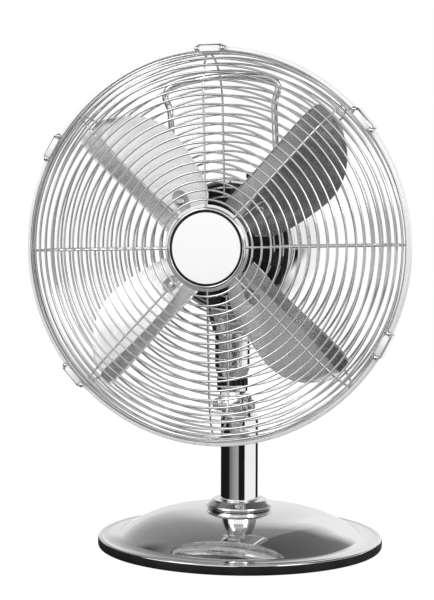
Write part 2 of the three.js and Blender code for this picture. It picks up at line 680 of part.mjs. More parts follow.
// ---------------------------------------------------------------- rim band and its latches
function addRimBand() {
  const { wall, lip } = band;
  const [radius, back, forward] = [bandRadius, rim.forward - bandHalf, rim.forward + bandHalf];
  const channel = [
    [radius - lip, back], [radius, back], [radius, forward], [radius - lip, forward],
    [radius - lip, forward - wall], [radius - wall, forward - wall],
    [radius - wall, back + wall], [radius - lip, back + wall],
  ];
  let hoop = solid(forwards(channel, guardSides));
  const shape = new THREE.Shape();
  shape.moveTo(forward - 0.6, pinRadius - 1.4);
  shape.lineTo(pinForward, pinRadius - clip.eye);
  shape.absarc(pinForward, pinRadius, clip.eye, -Math.PI / 2, Math.PI / 2, false);
  shape.lineTo(forward - 0.6, pinRadius + clip.eye);
  const ear = (side) => solid(sidePlate(shape, clip.earWidth, 4).translate(side * clip.ear, 0, 0));
  const pinWay = solid(crossRod(clip.pin + fit, 4 * clip.ear, 6).translate(0, -pinForward, pinRadius));
  for (const angle of clipAngles) {
    for (const side of [-1, 1]) {
      hoop = hoop.add(cut(ear(side), pinWay).rotate([0, angle, 0]));
    }
  }
  place(head, 'rim_band', hoop, 'chrome');
}

// An over-the-rim latch: a bent tab with a hook behind, turning on a pin with ball ends in front.
function latch() {
  const low = bandRadius + 2 * fit;
  const high = low + clip.wall;
  const behind = rim.forward - bandHalf - 2 * fit;
  const hook = bandRadius - clip.hook;
  const edge = pinForward + clip.pin;
  const shape = new THREE.Shape([
    new THREE.Vector2(behind - clip.wall, hook), new THREE.Vector2(behind, hook),
    new THREE.Vector2(behind, low), new THREE.Vector2(edge, low),
    new THREE.Vector2(edge, high), new THREE.Vector2(behind - clip.wall, high),
  ]);
  const tab = solid(sidePlate(shape, clip.width));
  const webWidth = 2 * clip.ear - clip.earWidth - 1.6;
  const [webLow, webHigh] = [pinRadius - clip.pin - 0.3, low + 0.5];
  const web = solid(box(webWidth, 3.6, webHigh - webLow, 0, -pinForward, (webLow + webHigh) / 2));
  const [end, ball] = [clip.width / 2, clip.ball];
  const half = [
    [clip.pin, end - 1.6], [ball, end + 0.4], [ball, end + 1.6], [ball * 0.6, end + 3], [0, end + 3.2],
  ];
  const pin = upright([...half.map(([r, h]) => [r, -h]).reverse(), ...half], 6);
  pin.rotateY(Math.PI / 2).translate(0, -pinForward, pinRadius);
  return join(tab, web, solid(pin));
}

function addClips() {
  clipAngles.forEach((angle, i) => {
    const mesh = place(head, `clip_${i + 1}`, latch(), 'chrome');
    mesh.rotation.y = THREE.MathUtils.degToRad(angle);
  });
}

// ---------------------------------------------------------------- blades
// Blade outline, in shares of its reach, its swept belly and its straight edge.
const bladeStations = [
  [0.217, 0.485, 0.634], [0.294, 0.788, 0.68], [0.409, 0.939, 0.735], [0.537, 1, 0.805],
  [0.665, 1, 0.88], [0.767, 0.879, 0.94], [0.856, 0.621, 0.98], [0.927, 0.273, 1],
  [0.971, -0.091, 0.985], [1, -0.424, 0.87],
];

function bladeSheet() {
  const across = [0, 0.33, 0.67, 1];
  const half = blade.sheet / 2;
  const rows = bladeStations.map(([share, belly, straight]) => {
    const radius = share * blade.reach;
    const outer = THREE.MathUtils.smoothstep(share, 0.41, 0.96);
    const pitch = THREE.MathUtils.degToRad(THREE.MathUtils.lerp(blade.rootPitch, blade.tipPitch, outer));
    const bend = blade.camber * outer * (1 - THREE.MathUtils.smoothstep(share, 0.895, 1.02));
    const at = (t, side) => {
      const chord = THREE.MathUtils.lerp(-belly * blade.belly, straight * blade.straight, t);
      return new THREE.Vector3(radius, bend * 4 * t * (1 - t) - side, chord).applyAxisAngle(X, pitch);
    };
    return [...across.map((t) => at(t, half)), ...across.map((t) => at(t, -half)).reverse()];
  });
  return solid(loft(rows));
}

// Flat pieces at the blade root, seen square on: normal along -Y, turned to the root's pitch.
const pitched = (geometry) => solid(turn(geometry, X, blade.rootPitch));

function addBlades() {
  const half = blade.sheet / 2;
  const armBack = half + fit + spider.arm;
  const rivetBack = -armBack - fit;
  const rivet = [
    [0, rivetBack - 1.4], [3.6, rivetBack - 1.4], [3.6, rivetBack], [blade.rivet, rivetBack],
    [blade.rivet, half - 0.3], [4.2, half - 0.3], [3.4, half + 1.2], [0, half + 1.6],
  ];
  const bladePiece = join(bladeSheet(), pitched(forwards(rivet, 6).translate(blade.rivetCircle, 0, 0)));
  const step = 360 / blade.count;

  const [hubBack, hubFront] = [spider.back - blade.forward, spider.front - blade.forward];
  let hub = solid(forwards(rod(spider.barrel, hubBack, hubFront), 16));
  for (let i = 0; i < blade.count; i += 1) {
    const root = spider.barrel / 2;
    const middle = (root + spider.armLength) / 2;
    const length = spider.armLength - root;
    const strap = box(length, spider.arm, spider.armWidth, middle, half + fit + spider.arm / 2, -1.5);
    const hole = forwards(rod(blade.rivet + fit, rivetBack - 3, 3), 8);
    const arm = cut(pitched(strap), pitched(hole.translate(blade.rivetCircle, 0, 0)));
    hub = hub.add(arm.rotate([0, -firstBlade - i * step, 0]));
  }
  const bore = solid(forwards(rod(shaft.radius + fit, shaft.back, shaftFront), 10));
  place(blades, 'blade_hub', hub.subtract(bore).translate([0, -blade.forward, 0]), 'steel');

  for (let i = 0; i < blade.count; i += 1) {
    const mesh = place(blades, `blade_${i + 1}`, bladePiece, 'satin');
    mesh.rotation.y = -THREE.MathUtils.degToRad(firstBlade + i * step);
    mesh.position.y = -blade.forward;
  }

  place(blades, 'motor_shaft', solid(forwards(rod(shaft.radius, shaft.back, shaftFront), 10)), 'steel');
  const rotor = ring(shaft.radius + fit, stator.bore - fit, stator.back, stator.front);
  place(blades, 'rotor', solid(forwards(rotor, 20)), 'iron');
  const nutProfile = [
    [shaft.radius + fit, nutBack], [nut.radius, nutBack], [nut.radius, nutBack + nut.length - 3],
    [nut.radius - 3, nutBack + nut.length], [0, nutBack + nut.length],
    [0, shaftFront + fit], [shaft.radius + fit, shaftFront + fit], [shaft.radius + fit, nutBack],
  ];
  const nutPoints = nutProfile.map(([r, h]) => new THREE.Vector2(r, h));
  place(blades, 'spinner_nut', solid(new THREE.LatheGeometry(nutPoints, 12).rotateX(Math.PI)), 'black');
}

// ---------------------------------------------------------------- carry handle
function addHandle() {
  const { forward, halfWidth, legStart, bendStart, legEnd, flare, flareHeight, top, crown, pad } = handle;
  const seat = housing.radius + fit;
  const footAngle = THREE.MathUtils.degToRad(handle.footAngle);
  const foot = [Math.sin(footAngle) * (seat + 3), Math.cos(footAngle) * (seat + 3)];
  const footAt = forward - handle.footSet;
  const side = (s) => [
    [s * foot[0], foot[1], footAt],
    [s * halfWidth, foot[1] + 4 * handle.radius, forward - 2 * handle.radius],
    [s * halfWidth, legStart, forward], [s * halfWidth, bendStart, forward],
    [s * (halfWidth + 1), legEnd, forward], [s * flare, flareHeight, forward],
    [s * (flare - 5), top - 2.5 * crown, forward], [s * flare * 0.6, top - crown, forward],
  ];
  const points = [...side(-1), [0, top, forward], ...side(1).reverse()];
  const knots = points.map(([x, up, f]) => new THREE.Vector3(x, -f, up));
  const path = new THREE.CatmullRomCurve3(knots, false, 'catmullrom', 0.5);
  const section = new THREE.Shape().absarc(0, 0, handle.radius, 0, 2 * Math.PI, false);
  const bar = new THREE.ExtrudeGeometry(section, { steps: 30, extrudePath: path, curveSegments: 3 });
  const pads = [-1, 1].map((s) => {
    const plate = box(handle.padWidth, handle.padLength, pad, 0, -footAt, seat + pad / 2);
    const screw = upright(rod(3, seat + pad / 2, seat + pad + 1.4), 8).translate(0, 4.5 - footAt, 0);
    return join(solid(turn(plate, Y, s * handle.footAngle)), solid(turn(screw, Y, s * handle.footAngle)));
  });
  place(head, 'carry_handle', join(solid(bar), ...pads).rotate([0, -handle.roll, 0]), 'chrome');
}

addBase();
addPost();
addPostCap();
addTiltBolt();
addKnuckle();
addNeck();
addMotor();
addControls();
addGuards();
addHubCap();
addRimBand();
addClips();
addBlades();
addHandle();

export default fan;
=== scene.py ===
import math

import bmesh
import bpy
from mathutils import Matrix, Vector


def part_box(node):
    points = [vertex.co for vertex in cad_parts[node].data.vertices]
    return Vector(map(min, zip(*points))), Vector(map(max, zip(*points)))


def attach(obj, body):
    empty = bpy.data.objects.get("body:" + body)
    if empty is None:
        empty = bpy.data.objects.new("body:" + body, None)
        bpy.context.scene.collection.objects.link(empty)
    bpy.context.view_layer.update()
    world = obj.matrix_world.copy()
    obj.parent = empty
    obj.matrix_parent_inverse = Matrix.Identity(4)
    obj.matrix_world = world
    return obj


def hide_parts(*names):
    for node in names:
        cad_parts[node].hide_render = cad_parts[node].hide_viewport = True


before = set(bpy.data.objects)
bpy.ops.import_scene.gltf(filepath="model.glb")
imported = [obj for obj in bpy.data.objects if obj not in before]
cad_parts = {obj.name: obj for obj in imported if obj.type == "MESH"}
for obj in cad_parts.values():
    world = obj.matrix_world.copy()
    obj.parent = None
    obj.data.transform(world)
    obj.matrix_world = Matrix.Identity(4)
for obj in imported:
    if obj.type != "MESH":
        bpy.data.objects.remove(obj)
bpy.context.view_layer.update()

# ---------------------------------------------------------------- camera
# A portrait lens a little to the right of the fan and just above its hub, with the frame
# shifted so that the whole stand shows.
lens = bpy.data.cameras.new("portrait_camera")
lens.lens = 95.66
lens.shift_x = 0.1107
lens.shift_y = -0.0153
camera = bpy.data.objects.new("portrait_camera", lens)
camera.location = (0.4243, -1.4412, 0.3202)
camera.rotation_euler = (math.radians(86.96), 0, math.radians(19.62))
bpy.context.scene.collection.objects.link(camera)
bpy.context.scene.camera = camera
bpy.context.scene.view_settings.view_transform = "Standard"


# ---------------------------------------------------------------- studio
# A pale table in a white room with two softboxes. Black flags and grey card stand round it, out
# of the frame, as they do when polished metal is lit: the metal shows them, nothing else does.
def ramp(tree, value, stops):
    """A grey level along a value that runs from the first stop to the last."""
    low, high = stops[0][0], stops[-1][0]
    scaled = tree.nodes.new("ShaderNodeMapRange")
    scaled.inputs["From Min"].default_value = low
    scaled.inputs["From Max"].default_value = high
    tree.links.new(value, scaled.inputs["Value"])
    levels = tree.nodes.new("ShaderNodeValToRGB")
    marks = levels.color_ramp.elements
    while len(marks) < len(stops):
        marks.new(0.5)
    for mark, (at, _) in zip(marks, stops):
        mark.position = (at - low) / (high - low)
    for mark, (_, grey) in zip(marks, stops):
        mark.color = (grey, grey, grey, 1)
    tree.links.new(scaled.outputs["Result"], levels.inputs["Fac"])
    return levels.outputs["Color"]


def sums(tree, operation, *values):
    """A Math node on sockets and numbers."""
    node = tree.nodes.new("ShaderNodeMath")
    node.operation = operation
    for socket, value in zip(node.inputs, values):
        if isinstance(value, (int, float)):
            socket.default_value = value
        else:
            tree.links.new(value, socket)
    return node.outputs["Value"]


def blended(tree, amount, first, second):
    """Goes from the first colour to the second."""
    mix = tree.nodes.new("ShaderNodeMix")
    mix.data_type = "RGBA"
    # The places where the node keeps its factor, its two colours and its result when it mixes colours.
    for place, value in ((0, amount), (6, first), (7, second)):
        socket = mix.inputs[place]
        if isinstance(value, (tuple, float, int)):
            socket.default_value = value
        else:
            tree.links.new(value, socket)
    return mix.outputs[2]


world = bpy.data.worlds.new("white_room")
bpy.context.scene.world = world
world.use_nodes = True
room = world.node_tree
room.nodes.clear()
direction = room.nodes.new("ShaderNodeTexCoord")
parts = room.nodes.new("ShaderNodeSeparateXYZ")
room.links.new(direction.outputs["Generated"], parts.inputs["Vector"])
ahead = sums(room, "MULTIPLY", parts.outputs["Y"], -1.0)
bearing = sums(room, "DEGREES", sums(room, "ARCTAN2", parts.outputs["X"], ahead))
behind = sums(room, "DEGREES", sums(room, "ARCTAN2", parts.outputs["X"], parts.outputs["Y"]))
height = sums(room, "DEGREES", sums(room, "ARCSINE", parts.outputs["Z"]))
# Every stop below is a bearing or a height in degrees, with the grey or the share found there.
# Above the fan: white in front, a grey ceiling that darkens overhead, one softbox behind.
overhead_front = ramp(room, height, [
    (9, 1.1), (33, 1.1), (46, 0.42), (56, 0.14), (72, 0.08), (82, 0.05), (90, 0.05)])
overhead_left = ramp(room, height, [
    (9, 0.7), (13, 0.62), (22, 0.4), (30, 0.3), (43, 0.25), (60, 0.19), (72, 0.13), (84, 0.07), (90, 0.07)])
overhead_right = ramp(room, height, [
    (9, 0.55), (20, 0.3), (33, 0.17), (50, 0.12), (68, 0.09), (82, 0.06), (90, 0.06)])
right_side = ramp(room, bearing, [(-180, 0), (-40, 0), (60, 1), (180, 1)])
front_side = ramp(room, bearing, [(-180, 0), (-66, 0), (-57, 1), (56, 1), (90, 0), (180, 0)])
overhead = blended(room, right_side, overhead_left, overhead_right)
overhead = blended(room, front_side, overhead, overhead_front)
box_width = ramp(room, behind, [(-180, 0), (-22, 0), (-7, 1), (10, 1), (20, 0), (180, 0)])
box_height = ramp(room, height, [(-90, 0), (7, 0), (11, 1), (24, 1), (40, 0), (90, 0)])
overhead = blended(room, sums(room, "MULTIPLY", box_width, box_height), overhead, (0.88, 0.88, 0.88, 1))
dark_width = ramp(room, bearing, [(-180, 0), (-122, 0), (-112, 1), (-67, 1), (-60, 0), (180, 0)])
dark_height = ramp(room, height, [(-90, 0), (12, 0), (18, 1), (40, 1), (54, 0), (90, 0)])
overhead = blended(room, sums(room, "MULTIPLY", dark_width, dark_height), overhead, (0.02, 0.02, 0.02, 1))
# Level with it: white card broken by black flags at both sides.
cards = ramp(room, bearing, [
    (-180, 0.88), (-150, 0.78), (-118, 0.7), (-110, 0.06), (-68, 0.06), (-60, 0.95), (12, 0.95),
    (16, 0.02), (44, 0.02), (48, 0.95), (70, 0.95), (78, 0.1), (124, 0.1), (132, 0.95), (180, 0.88)])
# A little below: the flags and cards that stripe the post.
flags = ramp(room, bearing, [
    (-180, 0.95), (-151, 0.95), (-148, 0.01), (-50, 0.01), (-46, 0.12), (-25, 0.28), (9, 0.42), (12, 0.01),
    (47, 0.01), (50, 0.97), (131, 0.97), (134, 0.01), (165, 0.01), (168, 0.95), (180, 0.95)])
# What the metal shows of the tabletop: a band below the flags, and another steeply below that.
near = ramp(room, bearing, [
    (-180, 0.3), (-136, 0.3), (-124, 0.02), (-66, 0.02), (-59, 0.42), (-38, 0.42), (-28, 0.06), (30, 0.06),
    (45, 0.3), (60, 0.3), (120, 0.25), (180, 0.3)])
deep = ramp(room, bearing, [
    (-180, 0.2), (-120, 0.1), (-60, 0.12), (-20, 0.04), (18, 0.04), (34, 0.62), (80, 0.5),
    (120, 0.2), (180, 0.2)])
surround = blended(room, ramp(room, height, [(-90, 1), (-52, 1), (-44, 0), (90, 0)]), near, deep)
surround = blended(room, ramp(room, height, [(-90, 0), (-17, 0), (-13, 1), (90, 1)]), surround, flags)
surround = blended(room, ramp(room, height, [(-90, 0), (-3, 0), (-1.5, 1), (90, 1)]), surround, cards)
surround = blended(room, ramp(room, height, [(-90, 0), (9, 0), (13, 1), (90, 1)]), surround, overhead)
rays = room.nodes.new("ShaderNodeLightPath")
shown = blended(room, rays.outputs["Is Glossy Ray"], (1.0, 1.0, 1.0, 1.0), surround)
seen = sums(room, "MAXIMUM", rays.outputs["Is Camera Ray"], rays.outputs["Is Glossy Ray"])
seen = sums(room, "MAXIMUM", seen, rays.outputs["Is Transmission Ray"])
colour = blended(room, seen, (1.03, 1.03, 1.03, 1.0), shown)
background = room.nodes.new("ShaderNodeBackground")
room.links.new(colour, background.inputs["Color"])
sky = room.nodes.new("ShaderNodeOutputWorld")
room.links.new(background.outputs["Background"], sky.inputs["Surface"])

# The table lies a hair below the fan's foot. For the camera alone it adds a glow of its own.
table_radius = 1.6
table_drop = 0.0003
glow_share = 0.75
bpy.ops.mesh.primitive_circle_add(vertices=96, radius=table_radius, fill_type="NGON",
                                  location=(0, 0, -table_drop))
table = bpy.context.object
table.name = "white_table"
paper = bpy.data.materials.new("white_paper")
paper.use_nodes = True
sheet = paper.node_tree
matt = sheet.nodes["Principled BSDF"]
matt.inputs["Base Color"].default_value = (0.5, 0.5, 0.5, 1)
matt.inputs["Roughness"].default_value = 0.9
matt.inputs["Specular IOR Level"].default_value = 0.1
glow = sheet.nodes.new("ShaderNodeEmission")
glow.inputs["Strength"].default_value = 1.24
path = sheet.nodes.new("ShaderNodeLightPath")
both = sheet.nodes.new("ShaderNodeMixShader")
sheet.links.new(sums(sheet, "MULTIPLY", path.outputs["Is Camera Ray"], glow_share), both.inputs["Fac"])
sheet.links.new(matt.outputs["BSDF"], both.inputs[1])
sheet.links.new(glow.outputs["Emission"], both.inputs[2])
sheet.links.new(both.outputs["Shader"], sheet.nodes["Material Output"].inputs["Surface"])
table.data.materials.append(paper)
table.visible_glossy = False

lamp_target = Vector((0, 0, 0.25))
for name, place, size, power in (
    ("key_softbox", (-1.1, -1.5, 1.5), 0.9, 8.0),
    ("fill_softbox", (1.5, -0.9, 1.1), 0.7, 4.0),
):
    lamp = bpy.data.lights.new(name, "AREA")
    lamp.size = size
    lamp.energy = power
    softbox = bpy.data.objects.new(name, lamp)
    softbox.location = place
    softbox.rotation_euler = (lamp_target - Vector(place)).to_track_quat("-Z", "Y").to_euler()
    softbox.visible_camera = False
    bpy.context.scene.collection.objects.link(softbox)


# ---------------------------------------------------------------- base: edge strip
# A black rubber strip under the rim of the base, which keeps the metal off the table.
# It is extruded, a little dusty at its foot, and glued in the flange.
def finish(name, colour, metallic, roughness):
    """A node material with its tree and its shader."""
    material = bpy.data.materials.new(name)
    material.use_nodes = True
    shader = material.node_tree.nodes["Principled BSDF"]
    shader.inputs["Base Color"].default_value = (*colour, 1)
    shader.inputs["Metallic"].default_value = metallic
    shader.inputs["Roughness"].default_value = roughness
    return material, material.node_tree, shader


def grain(tree, scale, detail=4, stretch=(1, 1, 1)):
    """Noise laid on the piece itself, in metres."""
    where = tree.nodes.new("ShaderNodeTexCoord")
    placed = tree.nodes.new("ShaderNodeMapping")
    placed.inputs["Scale"].default_value = stretch
    noise = tree.nodes.new("ShaderNodeTexNoise")
    noise.inputs["Scale"].default_value = scale
    noise.inputs["Detail"].default_value = detail
    tree.links.new(where.outputs["Object"], placed.inputs["Vector"])
    tree.links.new(placed.outputs["Vector"], noise.inputs["Vector"])
    return noise.outputs["Fac"]


def spread(tree, value, low, high):
    """Carries the middle of a noise over to the range of a roughness or a mask."""
    scaled = tree.nodes.new("ShaderNodeMapRange")
    for label, number in (("From Min", 0.3), ("From Max", 0.7), ("To Min", low), ("To Max", high)):
        scaled.inputs[label].default_value = number
    tree.links.new(value, scaled.inputs["Value"])
    return scaled.outputs["Result"]


def tinted(tree, shader, value, dark, light):
    """Lets the colour wander between two tones."""
    tone = blended(tree, spread(tree, value, 0, 1), (*dark, 1), (*light, 1))
    tree.links.new(tone, shader.inputs["Base Color"])


def relief(tree, shader, value, strength, depth):
    """Raises and lowers the surface, by a depth in metres."""
    bump = tree.nodes.new("ShaderNodeBump")
    bump.inputs["Strength"].default_value = strength
    bump.inputs["Distance"].default_value = depth
    tree.links.new(value, bump.inputs["Height"])
    tree.links.new(bump.outputs["Normal"], shader.inputs["Normal"])


def surfaced(name, colour, metallic, roughness, tones, sheen=None, texture=None):
    """A finish with noise in it. Tones are (noise scale, dark, light), sheen is (scale, low, high)
    and texture is (scale, strength, depth); a fourth number is the noise's detail."""
    material, tree, shader = finish(name, colour, metallic, roughness)
    scale, dark, light, *detail = tones
    tinted(tree, shader, grain(tree, scale, *detail), dark, light)
    if sheen:
        scale, low, high, *detail = sheen
        rough = spread(tree, grain(tree, scale, *detail), low, high)
        tree.links.new(rough, shader.inputs["Roughness"])
    if texture:
        scale, strength, depth, *detail = texture
        relief(tree, shader, grain(tree, scale, *detail), strength, depth)
    return material


def extent(node):
    """The low and the high corner of a CAD node's box, in millimetres."""
    return [1000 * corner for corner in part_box(node)]


def eased(corners):
    """Rounds the corners [across, along, rounding] of a closed outline."""
    bends = 6
    points = []
    for i, (across, along, *ease) in enumerate(corners):
        here = Vector((across, along))
        if not ease:
            points.append(here)
            continue
        # A rounding takes less than half of each side it starts on.
        last = Vector(corners[i - 1][:2])
        following = Vector(corners[(i + 1) % len(corners)][:2])
        start = here + (last - here).normalized() * min(ease[0], (last - here).length * 0.49)
        end = here + (following - here).normalized() * min(ease[0], (following - here).length * 0.49)
        for k in range(bends + 1):
            t = k / bends
            points.append(start * (1 - t) ** 2 + here * 2 * t * (1 - t) + end * t * t)
    return points


def plain_mesh(name, shape):
    """Faces outwards, doubles merged."""
    bmesh.ops.remove_doubles(shape, verts=shape.verts, dist=1e-4)
    bmesh.ops.recalc_face_normals(shape, faces=shape.faces)
    mesh = bpy.data.meshes.new(name)
    shape.to_mesh(mesh)
    shape.free()
    return mesh


def revolved(corners, at=Matrix(), sides=128):
    """A turned piece: its outline in millimetres from its own axis, stood on a matrix."""
    outline = eased(corners)
    shape = bmesh.new()
    rings = []
    for point in outline:
        count = 1 if point.x < 1e-6 else sides
        angles = [2 * math.pi * k / count for k in range(count)]
        spots = [Vector((point.x * math.cos(a), point.x * math.sin(a), point.y)) for a in angles]
        rings.append([shape.verts.new(at @ spot) for spot in spots])
    for here, following in zip(rings, rings[1:] + rings[:1]):
        if len(here) == len(following) == 1:
            continue
        for k in range(sides):
            a, b = here[k % len(here)], here[(k + 1) % len(here)]
            c, d = following[(k + 1) % len(following)], following[k % len(following)]
            # On the axis two of the four are one point.
            shape.faces.new(list(dict.fromkeys((a, b, c, d))))
    return plain_mesh("turned", shape)


def piece(name, mesh, material, slot, body, *cad_nodes, at=None, crease=40):
    """A finished piece in metres: rides on its body and stands for its CAD nodes."""
    if at is not None:
        mesh.transform(at)
    mesh.transform(Matrix.Scale(0.001, 4))
    mesh.name = name
    mesh.materials.clear()
    mesh.materials.append(material)
    mesh.shade_smooth()
    mesh.set_sharp_from_angle(angle=math.radians(crease))
    made = bpy.data.objects.new(name, mesh)
    bpy.context.scene.collection.objects.link(made)
    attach(made, body)
    if cad_nodes:
        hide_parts(*cad_nodes)
    return made


rubber = surfaced("edge_rubber", (0.012, 0.012, 0.013), 0, 0.6,
                  tones=(40, (0.008, 0.008, 0.009), (0.016, 0.016, 0.017)),
                  sheen=(240, 0.42, 0.68), texture=(900, 0.15, 0.0001))
rubber.node_tree.nodes["Principled BSDF"].inputs["Specular IOR Level"].default_value = 0.2
base_radius = 1000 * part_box("edge_band")[1].x
strip = [(base_radius - 7.5, 0, 0.6), (base_radius - 0.6, 0, 1.6), (base_radius, 3.4, 3),
         (base_radius - 0.4, 7.6, 0.8), (base_radius - 7.5, 7.6)]
piece("edge_strip", revolved(strip, sides=160), rubber, "edge_black", "stand", "edge_band")


# ---------------------------------------------------------------- base: cover
# The saucer is one steel pressing, polished and chromed. It rolls over into a flat flange,
# which ends in a small bead and a turned-down lip.
chrome = surfaced("polished_chrome", (0.9, 0.9, 0.9), 1, 0.05,
                  tones=(16, (0.86, 0.863, 0.866), (0.93, 0.932, 0.934)),
                  sheen=(70, 0.03, 0.085, 8), texture=(18, 0.02, 0.0004, 0))

fold = base_radius - 19.3
fold_height = 9.2
cover_rise = 25.2
cover_sheet = 1.2


def cover_height(radius):
    """How high the saucer stands over the table."""
    return fold_height + cover_rise * max(0.0, 1 - (radius / fold) ** 4)


post_radius = 1000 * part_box("post_tube")[1].x
steps = 70
slope = fold - post_radius - 2
stations = [post_radius + 0.3] + [post_radius + 2 + slope * (k / steps) for k in range(steps + 1)]
saucer = [(r, cover_height(r)) for r in stations]
saucer += [(base_radius - 6, 9.1, 1), (base_radius - 3.4, 9.6, 1.6), (base_radius - 0.9, 9.2, 1.6),
           (base_radius - 0.7, 7.9, 0.2), (base_radius - 5.0, 7.9)]
saucer += [(r, cover_height(r) - cover_sheet) for r in reversed(stations[::2])]
piece("saucer_cover", revolved(saucer, sides=192), chrome, "chrome", "stand", "base_cover", crease=50)


# ---------------------------------------------------------------- base: underside and cord gland
# A pressed steel plate closes the base and carries an iron ballast ring; the post's foot bolt
# pulls the plate up. The moulded gland at the back is the cord's way out.
def keep(node, material):
    """Gives a CAD node its finish."""
    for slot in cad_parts[node].material_slots:
        slot.material = material


zinced = surfaced("zinc_plated_steel", (0.6, 0.61, 0.62), 1, 0.3,
                  tones=(60, (0.5, 0.51, 0.53), (0.68, 0.69, 0.7), 8),
                  sheen=(400, 0.24, 0.42), texture=(1500, 0.15, 0.0001))
iron = surfaced("cast_iron", (0.13, 0.13, 0.135), 0.6, 0.75,
                tones=(120, (0.08, 0.08, 0.085), (0.2, 0.2, 0.2)), texture=(500, 0.6, 0.0006, 8))
for node in ("base_plate", "post_insert", "foot_bolt"):
    keep(node, zinced)
keep("base_weight", iron)

plastic = surfaced("black_moulding", (0.022, 0.022, 0.024), 0, 0.4,
                   tones=(150, (0.014, 0.014, 0.015), (0.032, 0.032, 0.034)),
                   sheen=(600, 0.32, 0.5), texture=(2200, 0.2, 0.00015))
gland_low, gland_high = extent("cable_gland")
gland_radius = (gland_high.z - gland_low.z) / 2
gland_place = Matrix.Translation((0, gland_low.y, (gland_low.z + gland_high.z) / 2))
backwards = gland_place @ Matrix.Rotation(math.radians(-90), 4, "X")
length = gland_high.y - gland_low.y
gland = [(2.4, 0), (gland_radius, 0, 0.5), (gland_radius, 3.4, 0.5), (4.4, 4.2, 0.5),
         (4.2, length - 12, 0.3), (3.4, length, 0.3), (2.4, length, 0.2)]
piece("cord_gland", revolved(gland, backwards, 48), plastic, "black_plastic", "stand", "cable_gland")


# ---------------------------------------------------------------- post and collar
# The post is chromed steel tube. It stands in a spun and chromed collar, slid on from above,
# which hides the hole in the saucer.
post_top = 1000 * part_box("post_tube")[1].z
post_foot = 1000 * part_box("post_tube")[0].z
bore = post_radius - 1.9
tube = [(bore, post_foot), (post_radius, post_foot), (post_radius, post_top, 0.5), (bore, post_top)]
piece("post", revolved(tube), chrome, "chrome", "stand", "post_tube")

collar_low, collar_high = (1000 * corner.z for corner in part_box("post_collar"))
collar_radius = 1000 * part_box("post_collar")[1].x
collar = [(post_radius + 0.15, collar_low), (collar_radius - 1.4, collar_low, 0.5),
          (collar_radius, collar_low + 2.6, 0.9), (collar_radius, collar_low + 3.8, 0.7),
          (collar_radius - 4.6, collar_high - 1.5, 0.5), (collar_radius - 6, collar_high, 0.9),
          (post_radius + 1.6, collar_high - 0.3, 0.5), (post_radius + 0.15, collar_high - 1)]
piece("collar", revolved(collar), chrome, "chrome", "stand", "post_collar")


# ---------------------------------------------------------------- post cap and tilt bolt
# A cast and polished plug in the post with two cheeks; the head tilts on a bolt between them
# and stays where the bolt's friction holds it.
def plate(outline, low, high, ease, at=Matrix(), segments=3):
    """A flat piece: an outline raised along its own Z, with its edges eased."""
    shape = bmesh.new()
    apart = [p for p, last in zip(outline, outline[-1:] + outline[:-1]) if math.dist(p, last) > 0.05]
    bottom = shape.faces.new([shape.verts.new((x, y, low)) for x, y in apart])
    top = bmesh.ops.extrude_face_region(shape, geom=[bottom])
    raised = [v for v in top["geom"] if isinstance(v, bmesh.types.BMVert)]
    bmesh.ops.translate(shape, verts=raised, vec=(0, 0, high - low))
    bmesh.ops.recalc_face_normals(shape, faces=shape.faces)
    if ease:
        rims = [e for e in shape.edges if abs(e.verts[0].co.z - e.verts[1].co.z) < 1e-6]
        bmesh.ops.bevel(shape, geom=rims, offset=ease, segments=segments, affect="EDGES", profile=0.5)
    shape.transform(at)
    return plain_mesh("plate", shape)


def merged(*meshes):
    """Several meshes as one."""
    shape = bmesh.new()
    for mesh in meshes:
        shape.from_mesh(mesh)
        bpy.data.meshes.remove(mesh)
    whole = bpy.data.meshes.new("merged")
    shape.to_mesh(whole)
    shape.free()
    return whole


def arc(x, y, radius, start, end, steps=24):
    """Points along a circle, in degrees."""
    angles = [math.radians(start + (end - start) * k / steps) for k in range(steps + 1)]
    return [(x + radius * math.cos(a), y + radius * math.sin(a)) for a in angles]


bolt_low, bolt_high = extent("tilt_bolt")
tilt_forward = -(bolt_low.y + bolt_high.y) / 2
tilt_height = (bolt_low.z + bolt_high.z) / 2
# The frame of a side view: its X is forward, its Y is up, its Z is to the left.
sideways = Matrix(((0, 0, -1, 0), (-1, 0, 0, 0), (0, 1, 0, 0), (0, 0, 0, 1)))
cheek_apart = 12.3
cheek_half = 2.3
cheek = [(-9.5, post_top + 0.9)] + arc(tilt_forward, tilt_height, 11.5, -84, 152)
cheeks = [plate(cheek, side * cheek_apart - cheek_half, side * cheek_apart + cheek_half, 0.9, sideways)
          for side in (-1, 1)]
plug = [(0, post_top - 14), (post_radius - 2.2, post_top - 14, 1), (post_radius - 2.2, post_top + 0.3),
        (post_radius, post_top + 0.3, 0.4), (post_radius, post_top + 2.2, 0.8), (0, post_top + 2.2)]
piece("post_fork", merged(revolved(plug), *cheeks), chrome, "chrome", "stand", "post_cap")

steel = surfaced("bright_screw_steel", (0.66, 0.67, 0.68), 1, 0.22,
                 tones=(200, (0.58, 0.59, 0.6), (0.74, 0.745, 0.75)), sheen=(900, 0.16, 0.34))
across = Matrix.Translation((0, -tilt_forward, tilt_height)) @ Matrix.Rotation(math.radians(90), 4, "Y")
tail, head_end = bolt_low.x, bolt_high.x
bolt = [(0, tail), (3.2, tail, 0.6), (3.2, head_end - 3.6), (6, head_end - 3.6, 0.3),
        (6, head_end - 1.2, 1.1), (2.6, head_end, 0.4), (2.4, head_end - 1.8, 0.2), (0, head_end - 1.8)]
piece("tilt_bolt_head", revolved(bolt, across, 48), steel, "chrome", "stand", "tilt_bolt")
nut_low, nut_high = (1000 * corner.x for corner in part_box("tilt_nut"))
nut_reach = 5.8
hexagon = [(nut_reach * math.cos(math.radians(a)), nut_reach * math.sin(math.radians(a)))
           for a in range(0, 360, 60)]
lock_nut = plate(hexagon, nut_low, nut_high, 0.5, across)
